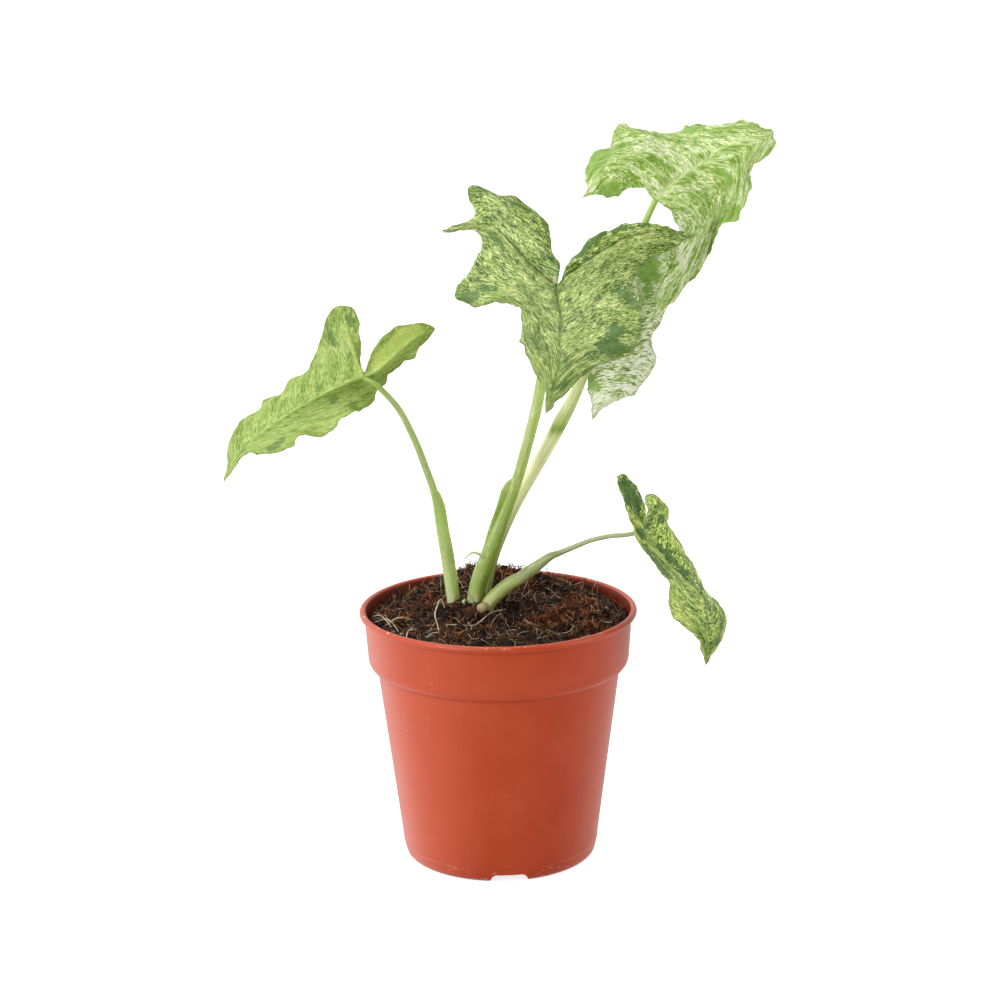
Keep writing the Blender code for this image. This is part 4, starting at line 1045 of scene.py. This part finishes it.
def make_blade(name, packed, blade, surface, seed, relief, dark, pale_and_highlight=()):
    """A thin closed sheet with quilted relief, crinkled edges and ribs raised on its underside."""
    points, quads, maps, (rib, margin, vein, out) = blade_sheet(blade)
    normals = point_normals(points, quads)
    if normals.mean(axis=0) @ np.array(blade["upper"]) < 0:
        quads = [quad[::-1] for quad in quads]
        maps = [flow[::-1] for flow in maps]
        normals = -normals
    east, north, both = Vector((seed, 0, 0)), Vector((0, seed, 0)), Vector((seed, seed, 0))
    spots = [Vector(point) for point in points]
    crumple = np.array([noise.fractal(spot * 0.085 + east, 0.8, 2.0, 3) for spot in spots])
    crinkle = np.array([noise.fractal(spot * 0.24 + north, 0.7, 2.0, 3) for spot in spots])
    ragged = np.array([1.2 * noise.noise_vector(spot * 0.19 + both)
                       + 0.3 * noise.noise_vector(spot * 0.6 + east) for spot in spots])
    inside = np.clip(margin / 7.0, 0.0, 1.0)
    near_edge = np.exp(-margin / 2.6)
    quilt = QUILT_HEIGHT * relief * (1 - vein**2) * np.clip(rib / 5.0, 0.0, 1.0) * inside
    groove = -GROOVE_DEPTH * np.exp(-((rib / GROOVE_WIDTH) ** 2)) * np.clip(1.2 - out, 0.15, 1.0)
    shift = quilt + groove + relief * (0.7 * crumple + (0.38 + 0.5 * near_edge) * crinkle)
    frill = ragged - normals * (ragged * normals).sum(1, keepdims=True)
    middle = points + normals * shift[:, None] + frill * (0.95 * relief * near_edge)[:, None]
    half = THICKNESS / 2 * (0.35 + 0.65 * np.clip(margin / 2.0, 0.0, 1.0))
    rib_line = np.exp(-((rib / RIB_WIDTH) ** 2))
    ridge = RIB_HEIGHT * rib_line * np.clip(1.15 - out, 0.0, 1.0)
    upper = middle + normals * half[:, None]
    lower = middle - normals * (half + ridge)[:, None]
    count = len(points)
    faces = [tuple(int(c) for c in quad) for quad in quads]
    faces += [tuple(int(c) + count for c in quad[::-1]) for quad in quads]
    maps = maps + [flow[::-1] for flow in maps]
    used = {}
    for quad, flow in zip(quads, maps):
        for k in range(len(quad)):
            used[(quad[k], quad[(k + 1) % len(quad)])] = (flow[k], flow[(k + 1) % len(quad)])
    for (a, b), (one, two) in used.items():
        if (b, a) not in used:
            faces.append((int(b), int(a), int(a) + count, int(b) + count))
            maps.append([two, one, one, two])
    made = make_mesh(name, np.vstack([upper, lower]), faces, surface)
    layer = made.data.uv_layers.new(name="flow")
    layer.data.foreach_set("uv", np.array([spot for flow in maps for spot in flow]).ravel())
    kept = {"rib": rib_line * np.clip(1.25 - out, 0.0, 1.0), "margin": np.exp(-margin / 0.8),
            "vein": np.clip((vein - 0.84) / 0.16, 0.0, 1.0) * np.clip(rib / 3.0, 0.0, 1.0) * inside}
    for kind, patches in (("dark", dark), ("pale_and_highlight", pale_and_highlight)):
        kept[kind] = np.zeros(count)
        for patch in patches:
            kept[kind] = np.maximum(kept[kind], near_capsule(points, *patch))
    for kind, values in kept.items():
        keep_values(made, kind, np.tile(values, 2).astype(np.float32))
    fit_piece(made, "blade_green", packed)


def leaf_surface(name, seed, tones, dark, pale_and_highlight, rib_tone, dash, edge_tone, cloud=0.08, rib_share=0.6,
                 vein_share=0.3, gloss=0.34):
    """Mottled leaf: streaks of the given tones that follow the veins, then patches, veins and ribs. Some pale
    patches are painted highlight, and some dark ones painted shade.
    """
    made, tree, shader = new_surface(name, Specular_IOR_Level=0.5)
    flow = new_node(tree, "ShaderNodeUVMap", {}, uv_map="flow").outputs["UV"]
    shift = (seed * 13.7, seed * 5.3, seed * 2.9)
    streaks = []
    for along, across, warp in ((0.42, 0.5, 0.9), (1.0, 1.0, 0.6), (2.2, 2.6, 0.4)):
        place = stretched(tree, flow, (along / dash[0], across / dash[1], 1.0), shift)
        streaks.append(clouds(tree, place, 1.0, 1.0, 0.5, warp))
    coarse, middle, fine = streaks
    area = clouds(tree, stretched(tree, flow, (0.11, 0.07, 1.0), shift), 1.0, 3.0, 0.6, 0.6)
    level = weighed(tree, (middle, 0.45), (fine, 0.3), (coarse, 0.25))
    level = reckon(tree, "ADD", level, between(tree, area, 0.3, 0.7, -cloud / 2, cloud / 2))
    colour = ramp(tree, level, tones)
    ragged = reckon(tree, "SUBTRACT", weighed(tree, (middle, 0.45), (area, 0.55)), 0.5)
    for kind, shade in (("dark", dark), ("pale_and_highlight", pale_and_highlight)):
        depth = reckon(tree, "ADD", kept_value(tree, kind), times(tree, ragged, 2.2))
        deeper = paint(*(0.86 * value for value in shade))
        solid = blended(tree, between(tree, fine, 0.4, 0.65), paint(*shade), deeper)
        colour = blended(tree, between(tree, depth, 0.5, 0.62, 0.0, 0.85), colour, solid)
    for kind, share, shade in (("vein", vein_share, rib_tone), ("rib", rib_share, rib_tone),
                               ("margin", 0.6, edge_tone)):
        colour = blended(tree, times(tree, kept_value(tree, kind), share), colour, paint(*shade))
    tree.links.new(colour, shader.inputs["Base Color"])
    tree.links.new(between(tree, fine, 0.25, 0.75, gloss, gloss + 0.12), shader.inputs["Roughness"])
    raised(tree, shader, weighed(tree, (middle, 0.7), (coarse, 0.6)), 0.0006, 0.6)
    return made


leaf_left = leaf_surface(
    "leaf_left", 1,
    [(0.40, (188, 204, 120)), (0.46, (160, 184, 88)), (0.51, (148, 174, 76)), (0.56, (124, 154, 58)),
     (0.62, (98, 130, 44))],
    dark=(108, 140, 60), pale_and_highlight=(200, 222, 110), rib_tone=(176, 198, 98), edge_tone=(126, 154, 66),
    dash=(0.62, 2.2), gloss=0.36)
# the pale patch on this blade's right lobe is a painted highlight: it brightens a lobe that faces away from
# the lamps
make_blade("left_blade", "blade_left", BLADE_LEFT, leaf_left, 1.0, 0.85, dark=[
    ((-67.5, -9, 206), (-68.5, -9, 204.5), 1.8), ((-59, -10, 204.5), (-60, -10, 203), 2.4),
    ((-90, -16.5, 189.5), (-95, -17.5, 186.5), 2.2), ((-61.5, 7, 237), (-61, 7, 234), 1.8),
    ((-70, 5.5, 230), (-67.5, 3.5, 226), 1.6), ((-107, -9, 184), (-105, -9, 187), 1.6),
    ((-82.5, -10.5, 198), (-80, -12, 195), 1.2),
], pale_and_highlight=[((-49, -2, 217), (-35, 5, 232), 4.2)])
leaf_front = leaf_surface(
    "leaf_front", 2,
    [(0.39, (224, 234, 158)), (0.44, (176, 196, 104)), (0.495, (145, 168, 74)), (0.545, (92, 121, 41)),
     (0.595, (38, 64, 14))],
    dark=(84, 122, 50), pale_and_highlight=(214, 226, 160), rib_tone=(60, 92, 30), edge_tone=(78, 108, 40),
    dash=(0.52, 1.9), rib_share=0.95, gloss=0.32)
make_blade("front_blade", "blade_front", BLADE_FRONT, leaf_front, 2.0, 1.3, dark=[
    ((48.5, -47.5, 232.5), (45, -47, 235), 6.2), ((50, -40, 238.5), (47, -45, 235.5), 4.2),
    ((20, 1, 278), (25, -5, 267), 1.5), ((6, 8, 286), (17, 3.5, 281.5), 1.2),
    ((34, -6.5, 265), (46, -2.5, 273.5), 1.6), ((50, -2, 274.5), (64, 1, 276), 1.3),
    ((44.5, -44.5, 235.5), (34, -42, 239), 1.5), ((50.5, -21.5, 251.5), (57, -26.5, 248), 2.4),
    ((51.5, -30.5, 244.5), (50, -31, 244), 1.9), ((36.5, -13, 256), (51, -9, 261.5), 1.1),
    ((27.5, -57, 232.5), (28.5, -61, 228), 2.2), ((-8, -15, 249.5), (-12, -13, 248.5), 4.4),
    ((-3.5, -14.5, 251.5), (10.5, -18.5, 251.5), 2.6), ((10.5, -18.5, 251.5), (21.5, -22.5, 249.5), 2.0),
    ((22.5, -70, 221.5), (27.5, -67, 223), 1.5), ((-1, 6.5, 271.5), (5.5, -1.5, 264), 1.8),
    ((13.5, 0.5, 278), (21, -3.5, 273.5), 1.8),
], pale_and_highlight=[((24.5, -12, 254.5), (25, -11, 256.5), 1.3)])
leaf_top = leaf_surface(
    "leaf_top", 3,
    [(0.40, (104, 146, 30)), (0.46, (132, 172, 50)), (0.505, (162, 192, 86)), (0.55, (206, 224, 142)),
     (0.61, (252, 254, 226))],
    dark=(134, 178, 50), pale_and_highlight=(240, 246, 206), rib_tone=(220, 236, 160), edge_tone=(158, 190, 96),
    dash=(0.62, 1.9), cloud=0.12, rib_share=0.85, vein_share=0.8)
make_blade("top_blade", "blade_top", BLADE_TOP, leaf_top, 3.0, 1.35, dark=[
    ((45, 18.5, 303.5), (41.5, 9, 298.5), 5.0), ((49.5, 3.5, 290.5), (47, 1.5, 289.5), 3.8),
    ((97.5, 43, 292.5), (101, 42.5, 289.5), 2.8), ((103.5, 33, 276.5), (102, 30.5, 273.5), 3.4),
    ((84.5, 27, 285), (89.5, 30, 283.5), 1.8), ((59.5, 36.5, 307.5), (60, 33, 305), 2.0),
    ((81.5, 62.5, 306), (91, 70.5, 308), 2.2), ((71.5, 24.5, 291.5), (75.5, 45, 301.5), 1.5),
], pale_and_highlight=[((79, 16.5, 272), (79.5, 18.5, 257), 1.7), ((85, 23, 268), (80, 21, 254), 1.2)])
leaf_back = leaf_surface(
    "leaf_back", 4,
    [(0.41, (255, 255, 246)), (0.47, (242, 248, 214)), (0.52, (212, 224, 160)), (0.56, (150, 176, 92)),
     (0.61, (98, 128, 54))],
    dark=(150, 190, 88), pale_and_highlight=(250, 252, 234), rib_tone=(178, 202, 122), edge_tone=(150, 180, 98),
    dash=(0.58, 2.4), gloss=0.4)
make_blade("back_blade", "blade_back", BLADE_BACK, leaf_back, 4.0, 1.0, dark=[
    ((68, 33.5, 255), (66, 30, 250), 5.6), ((41, 9.5, 208.5), (42, 9, 206), 2.6),
    ((53, 10, 209), (53.5, 10, 206), 2.2), ((64.5, 26, 243.5), (64, 25, 242), 1.8),
])
leaf_right = leaf_surface(
    "leaf_right", 5,
    [(0.40, (238, 246, 150)), (0.455, (184, 208, 88)), (0.505, (146, 176, 60)), (0.55, (88, 122, 34)),
     (0.60, (42, 70, 14))],
    dark=(68, 110, 44), pale_and_highlight=(206, 226, 130), rib_tone=(60, 94, 32), edge_tone=(146, 170, 98),
    dash=(0.55, 1.7), cloud=0.1, rib_share=0.7)
# most dark patches on this blade are dark leaf colour with painted shade: on the near lobe, down the left
# half by the junction and along the midrib, where the blade folds and turns away from the lamps
make_blade("right_blade", "blade_right", BLADE_RIGHT, leaf_right, 5.0, 0.65, dark=[
    ((53.5, -28, 173), (60.5, -21.5, 157), 4.3), ((60, -21, 149), (66, -29, 140), 2.8),
    ((66, -29, 140), (71.5, -34, 134), 2.6), ((68.5, -4.5, 150.5), (70.5, -3.5, 147), 2.4),
    ((68.5, -15, 141), (79, -18, 130), 1.9), ((84, -17, 124), (94, -19, 108), 2.6),
    ((94, -20, 108), (92.5, -25, 101), 1.9),
])


# Floor, lights and camera
# A plain white studio table, a broad softbox on the left, a weaker one on the right and one overhead,
# and the camera where the photograph was taken from.
FLOOR_REACH, FLOOR_LEVEL = 4000, -0.2
WHITE = (1.0, 1.0, 1.0, 1.0)
LENS_TILT, LENS_ROLL = math.radians(14.4), math.radians(-0.62)
LENS_PLACE = (-0.0027, -1.1623, 0.4569)  # in metres
LENS_LENGTH, SENSOR_WIDTH = 100.96, 36.0


def camera_rays(tree):
    """1 for what the camera sees itself, 0 for reflections and bounced light."""
    return new_node(tree, "ShaderNodeLightPath", {}).outputs["Is Camera Ray"]


def softbox(name, place, aim, size, power):
    """A rectangular light; place, aim and size are in metres."""
    light = bpy.data.lights.new(name, "AREA")
    light.shape = "RECTANGLE"
    light.size, light.size_y = size
    light.energy = power
    made = place_object(name, light)
    made.location = place
    made.rotation_euler = (Vector(aim) - Vector(place)).to_track_quat("-Z", "Y").to_euler()


floor_surface, tree, shader = new_surface("studio_floor", Roughness=0.9, Base_Color=(0.65, 0.65, 0.65, 1.0),
                                          Emission_Color=WHITE)
tree.links.new(between(tree, camera_rays(tree), 0.0, 1.0, 0.0, 0.8), shader.inputs["Emission Strength"])
corners = [(FLOOR_REACH * x, FLOOR_REACH * y, FLOOR_LEVEL) for x, y in ((-1, -1), (1, -1), (1, 1), (-1, 1))]
floor = make_mesh("studio_floor", corners, [(0, 1, 2, 3)], floor_surface)
floor.visible_glossy = False

# the dome is brighter behind and on the left, and the camera itself sees plain white
world = bpy.data.worlds.new("studio")
bpy.context.scene.world = world
world.use_nodes = True
tree = world.node_tree
dome = tree.nodes["Background"]
dome.inputs["Color"].default_value = WHITE
way = new_node(tree, "ShaderNodeTexCoord", {}).outputs["Generated"]
axes = new_node(tree, "ShaderNodeSeparateXYZ", {"Vector": way}).outputs
behind = between(tree, axes["Y"], -0.5, 0.5, 0.05, 0.85)
leftward = between(tree, axes["X"], -0.1, -0.8, 0.0, 0.9)
unseen = between(tree, camera_rays(tree), 0.0, 1.0, 1.0, 0.0)
seen = between(tree, camera_rays(tree), 0.0, 1.0, 0.0, 1.1)
strength = reckon(tree, "ADD", times(tree, reckon(tree, "ADD", behind, leftward), unseen), seen)
tree.links.new(strength, dome.inputs["Strength"])

softbox("key_light", (-0.95, -1.05, 0.75), (0.0, 0.0, 0.15), (0.9, 1.1), 13.0)
softbox("fill_light", (1.3, -0.45, 0.35), (0.0, 0.0, 0.15), (0.8, 0.9), 8.0)
softbox("top_light", (0.0, 0.2, 1.5), (0.0, 0.0, 0.1), (1.2, 1.2), 9.0)

ahead = Vector((0.0, math.cos(LENS_TILT), -math.sin(LENS_TILT)))
level_up = Vector((0.0, math.sin(LENS_TILT), math.cos(LENS_TILT)))
right = Vector((1.0, 0.0, 0.0)) * math.cos(LENS_ROLL) + level_up * math.sin(LENS_ROLL)
up = level_up * math.cos(LENS_ROLL) - Vector((1.0, 0.0, 0.0)) * math.sin(LENS_ROLL)
lens = bpy.data.cameras.new("camera")
lens.lens = LENS_LENGTH
lens.sensor_width = SENSOR_WIDTH
camera = place_object("camera", lens)
camera.matrix_world = Matrix((
    (right.x, up.x, -ahead.x, LENS_PLACE[0]), (right.y, up.y, -ahead.y, LENS_PLACE[1]),
    (right.z, up.z, -ahead.z, LENS_PLACE[2]), (0.0, 0.0, 0.0, 1.0)))
bpy.context.scene.camera = camera
bpy.context.scene.view_settings.view_transform = "Standard"
